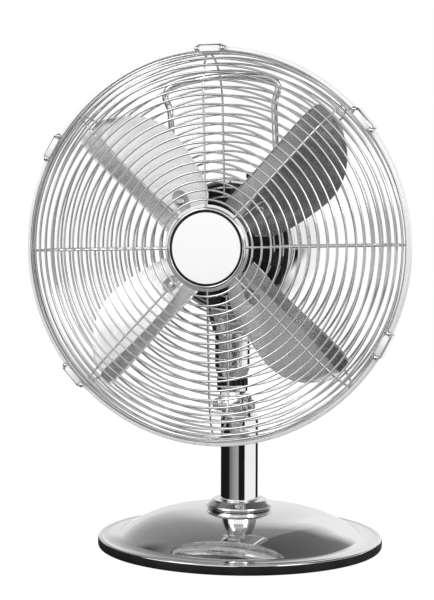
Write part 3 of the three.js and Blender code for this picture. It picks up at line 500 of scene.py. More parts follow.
piece("tilt_lock_nut", lock_nut, steel, "chrome", "stand", "tilt_nut")


# ---------------------------------------------------------------- knuckle and thrust washer
# The knuckle is die cast: a tongue on the tilt bolt below, a round platform above, and a pin
# that the neck turns on. A finned black washer keeps the neck off the platform.
cast = surfaced("polished_casting", (0.78, 0.785, 0.79), 1, 0.06,
                tones=(40, (0.74, 0.745, 0.75), (0.8, 0.805, 0.81)),
                sheen=(160, 0.04, 0.08), texture=(90, 0.05, 0.0003))

pin_top = extent("knuckle")[1].z
washer_low, washer_high = extent("thrust_ring")
washer_radius = washer_high.x
swivel_forward = -(washer_low.y + washer_high.y) / 2
platform_top = washer_low.z - 0.3
at_swivel = Matrix.Translation((0, -swivel_forward, 0))
platform = [(0, platform_top - 5), (washer_radius, platform_top - 5, 0.9),
            (washer_radius, platform_top, 0.6), (7, platform_top), (7, pin_top - 7.5, 0.6),
            (4, pin_top - 7), (4, pin_top, 0.6), (0, pin_top)]
tongue = [(swivel_forward + 11.3, platform_top - 3), (swivel_forward - 11.3, platform_top - 3)]
tongue += arc(tilt_forward, tilt_height, 10, 180, 322)
tongue_half = 9.7
tongue_plate = plate(tongue, -tongue_half, tongue_half, 1.2, sideways, 4)
knuckle = merged(revolved(platform, at_swivel, 96), tongue_plate)
piece("swivel_knuckle", knuckle, cast, "cast_metal", "tilt_arm", "knuckle")
keep("swivel_nut", zinced)


def node_group(name, sockets):
    """A Geometry Nodes tree with named inputs after its geometry."""
    group = bpy.data.node_groups.new(name, "GeometryNodeTree")
    group.interface.new_socket("Geometry", in_out="INPUT", socket_type="NodeSocketGeometry")
    for label, kind, value in sockets:
        socket = group.interface.new_socket(label, in_out="INPUT", socket_type=kind)
        if value is not None:
            socket.default_value = value
    group.interface.new_socket("Geometry", in_out="OUTPUT", socket_type="NodeSocketGeometry")
    return group, group.nodes.new("NodeGroupInput"), group.nodes.new("NodeGroupOutput")


def wired(group, kind, **inputs):
    """Adds a node and joins or sets its inputs; a name's underscores are spaces."""
    node = group.nodes.new(kind)
    for label, value in inputs.items():
        socket = node.inputs[label.replace("_", " ")]
        if isinstance(value, bpy.types.NodeSocket):
            group.links.new(value, socket)
        else:
            socket.default_value = value
    return node


def grown(mesh, group, values):
    """What a tree makes of a mesh, as one plain mesh."""
    carrier = bpy.data.objects.new("carrier", mesh)
    bpy.context.scene.collection.objects.link(carrier)
    modifier = carrier.modifiers.new("grow", "NODES")
    modifier.node_group = group
    for item in group.interface.items_tree:
        if item.in_out == "INPUT" and item.name in values:
            modifier[item.identifier] = values[item.name]
    finished = carrier.evaluated_get(bpy.context.evaluated_depsgraph_get())
    result = bpy.data.meshes.new_from_object(finished)
    carrier.modifiers.clear()
    bpy.data.objects.remove(carrier)
    return result


# Copies of one shape round the Z axis it is made about.
round_axis, entry, leave = node_group("copies_round_an_axis", [
    ("Count", "NodeSocketInt", 4), ("First Angle", "NodeSocketFloat", 0.0),
    ("Material", "NodeSocketMaterial", None)])
points = wired(round_axis, "GeometryNodePoints", Count=entry.outputs["Count"])
number = round_axis.nodes.new("GeometryNodeInputIndex")
step = sums(round_axis, "DIVIDE", 2 * math.pi, entry.outputs["Count"])
turned_by = sums(round_axis, "MULTIPLY", number.outputs["Index"], step)
angle = sums(round_axis, "ADD", turned_by, entry.outputs["First Angle"])
spin = wired(round_axis, "ShaderNodeCombineXYZ", Z=angle)
copies = wired(round_axis, "GeometryNodeInstanceOnPoints", Points=points.outputs[0],
               Instance=entry.outputs["Geometry"], Rotation=spin.outputs["Vector"])
solid = wired(round_axis, "GeometryNodeRealizeInstances", Geometry=copies.outputs["Instances"])
coated = wired(round_axis, "GeometryNodeSetMaterial", Geometry=solid.outputs["Geometry"],
               Material=entry.outputs["Material"])
round_axis.links.new(coated.outputs["Geometry"], leave.inputs["Geometry"])


def ringed(shape, count, material, first=0.0):
    """Copies of a shape in a ring about Z, the first of them turned by some degrees."""
    values = {"Count": count, "First Angle": math.radians(first), "Material": material}
    return grown(shape, round_axis, values)


fin_root = washer_radius - 2.4
fin = plate([(fin_root, -1.15), (washer_radius, -1.15), (washer_radius, 1.15), (fin_root, 1.15)],
            washer_low.z + 0.4, washer_high.z - 0.4, 0.25)
fins = ringed(fin, 18, plastic)
fins.transform(at_swivel)
lip, waist = washer_radius - 0.4, washer_radius - 1.7
washer = [(7.3, washer_low.z), (lip, washer_low.z, 0.3), (lip, washer_low.z + 0.8, 0.2),
          (waist, washer_low.z + 0.9), (waist, washer_high.z - 0.9), (lip, washer_high.z - 0.8, 0.2),
          (lip, washer_high.z, 0.3), (7.3, washer_high.z)]
finned = merged(revolved(washer, at_swivel, 72), fins)
piece("thrust_washer", finned, plastic, "black_plastic", "tilt_arm", "thrust_ring")


# ---------------------------------------------------------------- neck
# A chromed sleeve, waisted at its foot, turns on the knuckle's pin in a bronze bush.
# The polished saddle on it is hollowed to the round of the motor.
bronze = surfaced("bearing_bronze", (0.5, 0.36, 0.17), 1, 0.35,
                  tones=(300, (0.42, 0.3, 0.14), (0.58, 0.43, 0.22)), texture=(1200, 0.3, 0.0002))
for node in ("swivel_bush", "front_bearing", "rear_bearing"):
    keep(node, bronze)

sleeve_low, sleeve_high = extent("neck_sleeve")
neck_radius = sleeve_high.x
sleeve = [(10.3, sleeve_low.z), (neck_radius - 3, sleeve_low.z, 0.6),
          (neck_radius - 0.6, sleeve_low.z + 7, 3), (neck_radius, sleeve_low.z + 12, 4),
          (neck_radius, sleeve_high.z - 7, 0.4), (neck_radius - 0.5, sleeve_high.z - 6.4, 0.3),
          (neck_radius, sleeve_high.z - 5.8, 0.4), (neck_radius, sleeve_high.z, 0.7), (10.3, sleeve_high.z)]
piece("neck", revolved(sleeve, at_swivel), chrome, "chrome", "head", "neck_sleeve")

hub_low, hub_high = extent("hub_badge")
axle_height = (hub_low.z + hub_high.z) / 2
motor_radius = 1000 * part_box("motor_housing")[1].x
saddle_low, saddle_high = extent("neck_saddle")


def saddle():
    """Ellipses that widen from the neck up to the motor's round."""
    half_x, half_y = saddle_high.x, (saddle_high.y - saddle_low.y) / 2
    middle = (saddle_high.y + saddle_low.y) / 2
    levels, sides = 18, 96
    shape = bmesh.new()
    rings = []
    for k in range(levels + 1):
        t = k / levels
        widen = 0.76 + 0.24 * (t * t * (3 - 2 * t)) - 0.03 * max(0, 1 - t * 9)
        ring = []
        for j in range(sides):
            a = 2 * math.pi * j / sides
            x, y = half_x * widen * math.cos(a), half_y * widen * math.sin(a)
            roof = axle_height - math.sqrt((motor_radius + 0.2) ** 2 - x * x)
            ring.append(shape.verts.new((x, middle + y, saddle_low.z + (roof - saddle_low.z) * t)))
        rings.append(ring)
    for here, following in zip(rings, rings[1:]):
        for j in range(sides):
            after = (j + 1) % sides
            shape.faces.new((here[j], here[after], following[after], following[j]))
    shape.faces.new(list(reversed(rings[0])))
    shape.faces.new(rings[-1])
    return plain_mesh("saddle", shape)


piece("motor_saddle", saddle(), chrome, "chrome", "head", "neck_saddle", crease=50)


# ---------------------------------------------------------------- motor
# A chromed drum with a domed, slotted back and a black pressed front plate. Inside are a
# laminated stator and rotor, their windings, and the box of gears that swings the head.

# From here on a piece of the head is made in a frame of its own, with X to the right, Y up and
# Z forward along the shaft.
axle = Matrix.Translation((0, 0, axle_height)) @ Matrix.Rotation(math.radians(90), 4, "X")
drum_low, drum_high = extent("motor_housing")
drum_front, drum_back = -drum_low.y, -drum_high.y
dome = 24
drum_wall = 1.4
shoulder_at = drum_back + dome
shell = [(58, drum_front - 2), (58, drum_front, 0.3), (motor_radius, drum_front, 1.0),
         (motor_radius, drum_front - 6, 0.3), (motor_radius - 0.5, drum_front - 6.6, 0.3),
         (motor_radius, drum_front - 7.2, 0.3)]
shell += [(motor_radius * y, shoulder_at - dome * x) for x, y in reversed(arc(0, 0, 1, 5, 90, 20))]
shell += [(4, drum_back), (4, drum_back + drum_wall)]
shell += [((motor_radius - drum_wall) * y, shoulder_at - (dome - drum_wall) * x)
          for x, y in arc(0, 0, 1, 5, 90, 16)]
shell += [(motor_radius - drum_wall, drum_front - 2)]
drum = revolved(shell, sides=144)
slit_from, slit_to = 25.5, 40.5
slit_outline = [(slit_from + x, y) for x, y in arc(0, 0, 1.3, 90, 270, 8)]
slit_outline += [(slit_to + x, y) for x, y in arc(0, 0, 1.3, -90, 90, 8)]
slits = ringed(plate(slit_outline, drum_back - 4, drum_back + dome - 2, 0), 8, chrome, 22.5)
drum_body = bpy.data.objects.new("drum_body", drum)
cutter = bpy.data.objects.new("slit_cutter", slits)
for part in (drum_body, cutter):
    bpy.context.scene.collection.objects.link(part)
pierce = drum_body.modifiers.new("pierce", "BOOLEAN")
pierce.object = cutter
pierce.operation = "DIFFERENCE"
pierce.solver = "EXACT"
finished = drum_body.evaluated_get(bpy.context.evaluated_depsgraph_get())
pierced = bpy.data.meshes.new_from_object(finished)
bpy.data.objects.remove(drum_body)
bpy.data.objects.remove(cutter)
piece("motor_drum", pierced, chrome, "chrome", "head", "motor_housing", at=axle, crease=50)

paint = surfaced("satin_black_paint", (0.014, 0.014, 0.015), 0, 0.35,
                 tones=(80, (0.01, 0.01, 0.011), (0.022, 0.022, 0.023)),
                 sheen=(300, 0.26, 0.44), texture=(1400, 0.2, 0.00015))
face = drum_front + 3
disc = [(11.3, face - 7.4), (59.2, face - 7.4), (59.2, face - 5.4), (57.7, face - 5.4),
        (57.7, face, 1.0), (52, face, 0.8), (50, face - 1.4, 0.8), (24, face - 1.4, 0.8),
        (21, face, 0.8), (16, face, 0.5), (15.4, face + 2.5, 0.6), (11.3, face + 2.5, 0.4)]
# Four studs carry the rear guard's screws.
screw_reach = 49
screw_turn = -13.5
stud = revolved([(2.3, face - 5), (6, face - 5), (6, face + 2.6, 0.5), (5.2, face + 3.1, 0.4),
                 (2.3, face + 3.1)], Matrix.Translation((screw_reach, 0, 0)), 32)
rib = plate([(24, -0.9), (46, -0.9), (46, 0.9), (24, 0.9)], face - 1.8, face - 0.4, 0.4)
studs = ringed(stud, 4, paint, screw_turn)
ribs = ringed(rib, 12, paint, 9)
front = merged(revolved(disc, sides=96), studs, ribs)
piece("motor_face", front, paint, "black_paint", "head", "motor_front_plate", at=axle)

laminated, tree, shader = finish("stacked_laminations", (0.35, 0.35, 0.36), 1, 0.45)
where = tree.nodes.new("ShaderNodeTexCoord")
sheets = tree.nodes.new("ShaderNodeTexWave")
sheets.bands_direction = "Y"
sheets.inputs["Scale"].default_value = 300
sheets.inputs["Distortion"].default_value = 0.3
tree.links.new(where.outputs["Object"], sheets.inputs["Vector"])
tinted(tree, shader, sheets.outputs["Fac"], (0.22, 0.22, 0.23), (0.48, 0.48, 0.5))
relief(tree, shader, sheets.outputs["Fac"], 0.4, 0.0002)
keep("stator_core", laminated)
keep("rotor", laminated)

copper, tree, shader = finish("varnished_windings", (0.5, 0.22, 0.1), 1, 0.3)
where = tree.nodes.new("ShaderNodeTexCoord")
middle = tree.nodes.new("ShaderNodeMapping")
middle.inputs["Location"].default_value = (0, 0, -axle_height / 1000)
turns = tree.nodes.new("ShaderNodeTexWave")
turns.wave_type = "RINGS"
turns.rings_direction = "Y"
turns.inputs["Scale"].default_value = 260
turns.inputs["Distortion"].default_value = 1.5
tree.links.new(where.outputs["Object"], middle.inputs["Vector"])
tree.links.new(middle.outputs["Vector"], turns.inputs["Vector"])
tinted(tree, shader, turns.outputs["Fac"], (0.3, 0.12, 0.05), (0.62, 0.3, 0.14))
relief(tree, shader, turns.outputs["Fac"], 0.6, 0.0004)
keep("front_winding", copper)
keep("rear_winding", copper)

die_cast = surfaced("gearbox_casting", (0.45, 0.46, 0.47), 1, 0.5,
                    tones=(80, (0.36, 0.37, 0.38), (0.55, 0.56, 0.57)), texture=(700, 0.4, 0.0004, 6))
keep("gearbox", die_cast)
keep("speed_switch", plastic)


# ---------------------------------------------------------------- controls
# Both are black mouldings with a fluted grip, pressed on their shafts. Pulling the button on top
# of the motor stops the swing; the knob behind, with a raised pointer, sets the speed.
button_low, button_high = extent("clutch_knob")
on_top = Matrix.Translation((0, (button_low.y + button_high.y) / 2, 0))
crown = button_high.z
button = [(0, button_low.z), (3, button_low.z, 0.3), (3, crown - 9.6), (4.6, crown - 9.5, 0.5),
          (5.4, crown - 7.4, 0.8), (5.4, crown - 4, 0.4), (4.4, crown - 2.4, 1.2), (0, crown - 2.6)]
grip = plate([(5, -0.4), (5.8, -0.25), (5.8, 0.25), (5, 0.4)], crown - 7.6, crown - 4.2, 0.15)
fluted_button = merged(revolved(button, sides=64), ringed(grip, 24, plastic))
piece("swing_button", fluted_button, plastic, "black_plastic", "clutch", "clutch_knob", at=on_top)

tip = -extent("speed_knob")[1].y
dial = [(0, tip + 0.6), (10, tip, 1.2), (12.2, tip + 1.4, 1.0), (12.6, tip + 10.5, 0.6),
        (14, tip + 11.3, 0.4), (14, tip + 12.3, 0.3), (3.6, tip + 12.3), (3.6, tip + 27, 0.4),
        (0, tip + 27)]
flute = plate([(11.9, -0.5), (13.1, -0.35), (13.1, 0.35), (11.9, 0.5)], tip + 2.6, tip + 10.8, 0.2)
pointer = plate([(-1.1, 2), (1.1, 2), (1.1, 14), (-1.1, 14)], tip, tip + 11, 0.4)
knob = merged(revolved(dial, sides=72), ringed(flute, 36, plastic), pointer)
piece("speed_dial_knob", knob, plastic, "black_plastic", "speed_dial", "speed_knob", at=axle)


# ---------------------------------------------------------------- wire guards
# Each guard is concentric rings of 2.2 mm wire welded to eight spokes and to a heavier rim
# ring, then chromed. The front spokes end on a pressed disc, the rear ones on a small ring.
bright_wire = surfaced("chromed_wire", (0.86, 0.86, 0.86), 1, 0.06,
                       tones=(25, (0.82, 0.822, 0.825), (0.9, 0.902, 0.904)),
                       sheen=(300, 0.04, 0.1), texture=(400, 0.03, 0.0002))

guards, entry, leave = node_group("rings_and_spokes", [
    ("Spokes", "NodeSocketInt", 8), ("Wire", "NodeSocketFloat", 1.1), ("Roll", "NodeSocketFloat", 0.0),
    ("Ring Detail", "NodeSocketInt", 144), ("Wire Detail", "NodeSocketInt", 9),
    ("Material", "NodeSocketMaterial", None)])
is_ring = wired(guards, "GeometryNodeInputNamedAttribute", Name="ring")
is_ring.data_type = "BOOLEAN"
marks = wired(guards, "GeometryNodeSeparateGeometry", Geometry=entry.outputs["Geometry"],
              Selection=is_ring.outputs["Attribute"])
spot = guards.nodes.new("GeometryNodeInputPosition")
split = wired(guards, "ShaderNodeSeparateXYZ", Vector=spot.outputs["Position"])
kept = wired(guards, "GeometryNodeStoreNamedAttribute", Geometry=marks.outputs["Selection"],
             Name="reach", Value=split.outputs["X"])
centred = wired(guards, "ShaderNodeCombineXYZ", Z=split.outputs["Z"])
on_axis = wired(guards, "GeometryNodeSetPosition", Geometry=kept.outputs["Geometry"],
                Position=centred.outputs["Vector"])
reach = wired(guards, "GeometryNodeInputNamedAttribute", Name="reach")
stretch = wired(guards, "ShaderNodeCombineXYZ", X=reach.outputs["Attribute"],
                Y=reach.outputs["Attribute"], Z=1.0)
hoop = wired(guards, "GeometryNodeCurvePrimitiveCircle", Resolution=entry.outputs["Ring Detail"],
             Radius=1.0)
hoops = wired(guards, "GeometryNodeInstanceOnPoints", Points=on_axis.outputs["Geometry"],
              Instance=hoop.outputs["Curve"], Scale=stretch.outputs["Vector"])
hoops = wired(guards, "GeometryNodeRealizeInstances", Geometry=hoops.outputs["Instances"])
gauge = wired(guards, "GeometryNodeInputNamedAttribute", Name="gauge")
hoops = wired(guards, "GeometryNodeSetCurveRadius", Curve=hoops.outputs["Geometry"],
              Radius=gauge.outputs["Attribute"])
bar = wired(guards, "GeometryNodeMeshToCurve", Mesh=marks.outputs["Inverted"])
stand_points = wired(guards, "GeometryNodePoints", Count=entry.outputs["Spokes"])
number = guards.nodes.new("GeometryNodeInputIndex")
step = sums(guards, "DIVIDE", 2 * math.pi, entry.outputs["Spokes"])
spin = wired(guards, "ShaderNodeCombineXYZ", Z=sums(guards, "MULTIPLY", number.outputs["Index"], step))
bars = wired(guards, "GeometryNodeInstanceOnPoints", Points=stand_points.outputs[0],
             Instance=bar.outputs["Curve"], Rotation=spin.outputs["Vector"])
bars = wired(guards, "GeometryNodeRealizeInstances", Geometry=bars.outputs["Instances"])
bars = wired(guards, "GeometryNodeSetCurveRadius", Curve=bars.outputs["Geometry"],
             Radius=entry.outputs["Wire"])
gathered = wired(guards, "GeometryNodeJoinGeometry", Geometry=hoops.outputs["Curve"])
guards.links.new(bars.outputs["Curve"], gathered.inputs["Geometry"])
section = wired(guards, "GeometryNodeCurvePrimitiveCircle", Resolution=entry.outputs["Wire Detail"],
                Radius=1.0)
drawn = wired(guards, "GeometryNodeCurveToMesh", Curve=gathered.outputs["Geometry"],
              Profile_Curve=section.outputs["Curve"], Fill_Caps=True)
roll = wired(guards, "ShaderNodeCombineXYZ", Z=entry.outputs["Roll"])
rolled = wired(guards, "GeometryNodeTransform", Geometry=drawn.outputs["Mesh"],
               Rotation=roll.outputs["Vector"])
solid = wired(guards, "GeometryNodeRealizeInstances", Geometry=rolled.outputs["Geometry"])
coated = wired(guards, "GeometryNodeSetMaterial", Geometry=solid.outputs["Geometry"],
               Material=entry.outputs["Material"])
guards.links.new(coated.outputs["Geometry"], leave.inputs["Geometry"])

rim_radius = 173.9
rim_wire = 4.2
band_half = 6.5
rim_forward = -extent("rim_band")[1].y + band_half
wire = 2.2
ring_pitch = 8.335
guard_shoulder = 130
guard_roll = 1.3


def guard_line(inner, face, rim_at):
    """Points of a guard's section: flat to the shoulder, then a quarter ellipse to the rim."""
    flat_steps, round_steps = 30, 60
    line = [Vector((inner + (guard_shoulder - inner) * k / flat_steps, face)) for k in range(flat_steps)]
    for k in range(round_steps + 1):
        a = math.pi / 2 * k / round_steps
        line.append(Vector((guard_shoulder + (rim_radius - guard_shoulder) * math.sin(a),
                            rim_at + (face - rim_at) * math.cos(a))))
    return line


def wire_marks(inner, face, way, first, side_pitch):
    """Loose points where the rings go, and one chain of points that is a spoke."""
    rim_at = rim_forward + way * (rim_wire / 2 + 0.3)
    line = guard_line(inner, face, rim_at)
    lengths = [0.0]
    for a, b in zip(line, line[1:]):
        lengths.append(lengths[-1] + (b - a).length)
    rings = []
    distance = first - inner
    while distance < lengths[-1] - side_pitch * 0.6:
        k = max(i for i, length in enumerate(lengths) if length <= distance)
        share = (distance - lengths[k]) / (lengths[k + 1] - lengths[k])
        rings.append((line[k].lerp(line[k + 1], share), wire / 2))
        distance += side_pitch if distance + inner > guard_shoulder else ring_pitch
    rings.append((Vector((rim_radius, rim_at)), rim_wire / 2))
    # A spoke lies inside the rings and is sunk into them a little, as welding leaves it.
    spoke = []
    for k, point in enumerate(line):
        ahead = line[min(k + 1, len(line) - 1)] - line[max(k - 1, 0)]
        inward = Vector((ahead.y, -ahead.x)).normalized() * way
        spoke.append(point + inward * wire * 0.9)
    mesh = bpy.data.meshes.new("wire_marks")
    corners = [(p.x, 0, p.y) for p, _ in rings] + [(p.x, 0, p.y) for p in spoke]
    chain = [(len(rings) + k, len(rings) + k + 1) for k in range(len(spoke) - 1)]
    mesh.from_pydata(corners, chain, [])
    on_ring = [True] * len(rings) + [False] * len(spoke)
    radii = [radius for _, radius in rings] + [wire / 2] * len(spoke)
    mesh.attributes.new("ring", "BOOLEAN", "POINT").data.foreach_set("value", on_ring)
    mesh.attributes.new("gauge", "FLOAT", "POINT").data.foreach_set("value", radii)
    return mesh


lock_angle = math.radians(-170)
lock_radius = rim_radius - 7.4


def lock_ear(forward):
    """The welded ear that the locking screw goes through."""
    ear = [(-4.5, rim_radius - 1)] + arc(0, lock_radius, 4.5, 180, 360, 16) + [(4.5, rim_radius - 1)]
    return plate(ear, forward - 0.75, forward + 0.75, 0.3, Matrix.Rotation(lock_angle, 4, "Z"))


def guard(inner, face, way, first, side_pitch, *extra):
    """One guard with its ear: the radius and the place of its face, the way it bulges (1 is
    forward), the radius of its first ring and the pitch of the rings round its side."""
    wires = grown(wire_marks(inner, face, way, first, side_pitch), guards,
                  {"Roll": math.radians(guard_roll), "Wire": wire / 2, "Material": bright_wire})
    whole = merged(wires, lock_ear(rim_forward + way * 1.05), *extra)
    whole.transform(axle)
    return whole


rear_face = -1000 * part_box("rear_guard")[1].y + wire / 2
rear_wires = guard(44.4, rear_face, -1, 45.5, 8)
piece("rear_wire_guard", rear_wires, bright_wire, "chrome_wire", "head", "rear_guard", crease=60)
front_face = -1000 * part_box("front_guard")[0].y - wire / 2
hub_face = front_face - wire * 1.3 + 0.45
boss = revolved([(3.3, hub_face - 1.5), (38.5, hub_face - 1.5, 0.5), (38.5, hub_face, 0.5),
                 (3.3, hub_face)], sides=96)
front_wires = guard(36.3, front_face, 1, 42.6, 6.7, boss)
piece("front_wire_guard", front_wires, bright_wire, "chrome_wire", "head", "front_guard", crease=60)


# ---------------------------------------------------------------- guard screws
# A steel screw with a domed head locks the two guards together near the bottom; four moulded
# screw caps with knurled edges hold the rear guard to the motor.
screw_back = rim_forward + 2.1
lock_screw = revolved([(0, rim_forward - 8), (1.8, rim_forward - 8, 0.4), (1.8, screw_back),
                       (3.6, screw_back, 0.2), (3.4, screw_back + 1.4, 0.6),
                       (1.4, screw_back + 2.2, 0.5), (0, screw_back + 2.2)],
                      Matrix.Translation((0, lock_radius, 0)), 40)
lock_place = axle @ Matrix.Rotation(lock_angle, 4, "Z")
piece("lock_screw_head", lock_screw, steel, "steel", "head", "lock_screw", at=lock_place)

cap_front = rear_face + wire / 2 + 2.3
fixing = revolved([(0, cap_front - 10), (2, cap_front - 10), (2, cap_front - 2),
                   (7.2, cap_front - 2, 0.2), (7.2, cap_front - 0.8, 0.5), (5.4, cap_front, 0.4),
                   (5.0, cap_front - 0.5, 0.2), (0, cap_front - 0.5)], sides=40)
knurl = plate([(6.9, -0.5), (7.5, -0.3), (7.5, 0.3), (6.9, 0.5)], cap_front - 1.9, cap_front - 0.8, 0.1)
fixing = merged(fixing, ringed(knurl, 20, plastic))
fixing.transform(Matrix.Translation((screw_reach, 0, 0)))
fixings = ringed(fixing, 4, plastic, screw_turn)
screws = [f"guard_screw_{i}" for i in range(1, 5)]
piece("guard_fixings", fixings, plastic, "black_plastic", "head", *screws, at=axle)


# ---------------------------------------------------------------- hub cap
# A chromed ring and a plain white enamelled disc cover the middle of the front guard. A black
# ring laid in the groove between them is painted shade, which darkens that groove.
bezel_low, bezel_high = extent("hub_bezel")
cap_radius = bezel_high.x
crest = -bezel_low.y
seat = crest - 2.3
badge_radius = hub_high.x
ring_profile = [(0, seat - 4), (3, seat - 4), (3, seat), (cap_radius, seat, 0.2),
                (cap_radius, seat + 1.2, 0.9), (cap_radius - 1.6, crest, 0.9),
                (cap_radius - 2.5, crest - 0.2, 0.4), (cap_radius - 2.9, seat + 0.5, 0.1),
                (0, seat + 0.5)]
piece("hub_ring", revolved(ring_profile, axle), chrome, "chrome", "head", "hub_bezel")
# Painted shade: a black ring that fills the groove round the disc, so that the groove renders dark.
groove_shade_ring = [(badge_radius - 2, seat + 0.6), (cap_radius - 3, seat + 0.6), (cap_radius - 3, crest - 1.3, 0.3),
          (badge_radius - 2, crest - 1.3)]
piece("hub_groove_shade", revolved(groove_shade_ring, axle), rubber, "edge_black", "head")

enamel = surfaced("white_enamel", (0.93, 0.93, 0.925), 0, 0.42,
                  tones=(12, (0.93, 0.93, 0.928), (0.95, 0.95, 0.947)),
                  sheen=(60, 0.4, 0.46), texture=(40, 0.01, 0.0001))
disc = [(0, crest - 1.2), (badge_radius, crest - 1.2), (badge_radius, crest - 0.7, 0.3),
        (badge_radius * 0.6, crest - 0.45), (0, crest - 0.3)]
piece("hub_disc", revolved(disc, axle), enamel, "badge_white", "head", "hub_badge", crease=60)
keep("hub_nut", zinced)


# ---------------------------------------------------------------- rim band
# A bright strip rolled into a channel grips both rim rings. Five pairs of ears on its front edge
# carry the latches.
band_finish = surfaced("bright_rolled_strip", (0.93, 0.93, 0.93), 0.25, 0.3,
                       tones=(20, (0.91, 0.91, 0.91), (0.95, 0.95, 0.95)),
                       sheen=(60, 0.24, 0.32), texture=(200, 0.03, 0.0002))
band_play = 0.3
band_sheet = 1.2
band_radius = rim_radius + rim_wire / 2 + band_play + band_sheet
back, forward = rim_forward - band_half, rim_forward + band_half
lip, wall = band_radius - 3.5, band_radius - 1.3
channel = [(lip, back, 0.5), (band_radius - 0.2, back, 2.4), (band_radius, rim_forward, 4),
           (band_radius - 0.2, forward, 2.4), (lip, forward, 0.5), (lip, forward - 1.1, 0.4),
           (wall, forward - 1.1, 1.4), (wall, back + 1.1, 1.4), (lip, back + 1.1, 0.4)]
pin_radius = band_radius - 2.1
pin_forward = forward + 3.1
ear_outline = [(forward - 0.8, pin_radius - 1.4), (pin_forward, pin_radius - 2.5)]
ear_outline += arc(pin_forward, pin_radius, 2.5, -80, 90, 12) + [(forward - 0.8, pin_radius + 1.9)]
# The head's frame seen from the side: X is forward, Y is outward.
radial = Matrix(((0, 0, 1, 0), (0, 1, 0, 0), (1, 0, 0, 0), (0, 0, 0, 1)))
clip_angles = (0, 51, 118, 228, 301)
ear_apart = 8.2
ear_half = 1.1
ears = []
for clockwise in clip_angles:
    turned_to = Matrix.Rotation(math.radians(-clockwise), 4, "Z") @ radial
    for side in (-ear_apart, ear_apart):
        ears.append(plate(ear_outline, side - ear_half, side + ear_half, 0.3, turned_to, 2))
band = merged(revolved(channel, sides=192), *ears)
piece("rim_channel", band, band_finish, "chrome", "head", "rim_band", at=axle, crease=50)


# ---------------------------------------------------------------- latches
# Five latches of bent steel strip hook over the band from the front and pull the guards
# together. Each turns on a pin with ball ends, pushed through a pair of ears.
def bent_strip(path, half_width, thickness):
    """A strip of sheet that follows a path of [forward, outward] points."""
    points = [Vector(p) for p in path]
    upper, lower = [], []
    for k, point in enumerate(points):
        ahead = points[min(k + 1, len(points) - 1)] - points[max(k - 1, 0)]
        side = Vector((-ahead.y, ahead.x)).normalized() * thickness / 2
        upper.append(point + side)
        lower.append(point - side)
    return plate([tuple(p) for p in upper + lower[::-1]], -half_width, half_width, 0.25, radial, 2)


def latch_tab():
    """The strap that reaches over the band, and the face with the web behind it."""
    over = band_radius + 1.2
    behind_band = back - 1.2
    path = [(behind_band, band_radius - 2.4)] + arc(behind_band + 1.8, over - 1.8, 1.8, 180, 90, 6)
    path += arc(pin_forward + 0.2, over - 2, 2, 90, 20, 6)
    top = bent_strip(path, 10.8, 1.0)
    panel_back, panel_front = pin_forward + 1.7, pin_forward + 2.7
    front_panel = plate([(panel_back, pin_radius - 2.6), (panel_front, pin_radius - 2.6),
                         (panel_front, over - 1), (panel_back, over - 0.6)], -8.7, 8.7, 0.2, radial, 2)
    web = plate([(pin_forward - 1.8, pin_radius - 1.8), (pin_forward + 1.8, pin_radius - 1.8),
                 (pin_forward + 1.8, over), (pin_forward - 1.8, over)], -6.3, 6.3, 0.4, radial, 2)
    return top, merged(front_panel, web)


def latch_pin():
    """A pin across the latch, turned with a ball at each end."""
    ball_radius, ball_at = 2.6, 11.7
    ball = [(ball_radius * math.sin(math.radians(a)), ball_at + ball_radius * math.cos(math.radians(a)))
            for a in range(0, 150, 10)]
    half = ball + [(1.5, 9.2)]
    lengthways = Matrix.Translation((0, pin_radius, pin_forward)) @ Matrix.Rotation(math.radians(90), 4, "Y")
    return revolved(half + [(r, -z) for r, z in half[::-1]], lengthways, 32)


for i, clockwise in enumerate(clip_angles, 1):
    turned_to = axle @ Matrix.Rotation(math.radians(-clockwise), 4, "Z")
    strap, latch_face = latch_tab()
    piece(f"latch_{i}_strap", strap, chrome, "chrome", f"latch_{i}", f"clip_{i}", at=turned_to)
    piece(f"latch_{i}_face", latch_face, band_finish, "chrome", f"latch_{i}", at=turned_to)
    piece(f"latch_{i}_pin", latch_pin(), chrome, "chrome", f"latch_{i}", at=turned_to)


# ---------------------------------------------------------------- blades
# Four satin aluminium blades, blanked with a swept belly and one straight edge, creased along
# that edge and riveted to the hub's arms.
satin, tree, shader = finish("satin_aluminium", (0.84, 0.845, 0.85), 1, 0.2)
where = tree.nodes.new("ShaderNodeUVMap")
drag = tree.nodes.new("ShaderNodeMapping")
drag.inputs["Scale"].default_value = (1, 12, 1)
brushed = tree.nodes.new("ShaderNodeTexNoise")
brushed.inputs["Scale"].default_value = 1.5
brushed.inputs["Detail"].default_value = 2
tree.links.new(where.outputs["UV"], drag.inputs["Vector"])
tree.links.new(drag.outputs["Vector"], brushed.inputs["Vector"])
tinted(tree, shader, brushed.outputs["Fac"], (0.83, 0.835, 0.84), (0.86, 0.863, 0.866))
tree.links.new(spread(tree, brushed.outputs["Fac"], 0.2, 0.24), shader.inputs["Roughness"])
relief(tree, shader, brushed.outputs["Fac"], 0.01, 0.00002)

blade_forward = 79
blade_count = 4
first_blade = 38.4
root_angle = 27
# From the root to the tip: radius, swept belly, straight edge, crease.
outline = [
    (34, -16, 26, 6), (46, -26, 27.9, 8.5), (64, -31, 30.1, 13), (84, -33, 33, 17),
    (104, -33, 36.1, 19.5), (120, -29, 38.5, 21), (134, -20.5, 40.2, 22), (145, -9, 41, 22.5),
    (151, 1.5, 40.6, 23), (154.6, 8.5, 39, 23.5), (156.2, 13, 36, 24), (156.6, 16, 32, 24.3)]


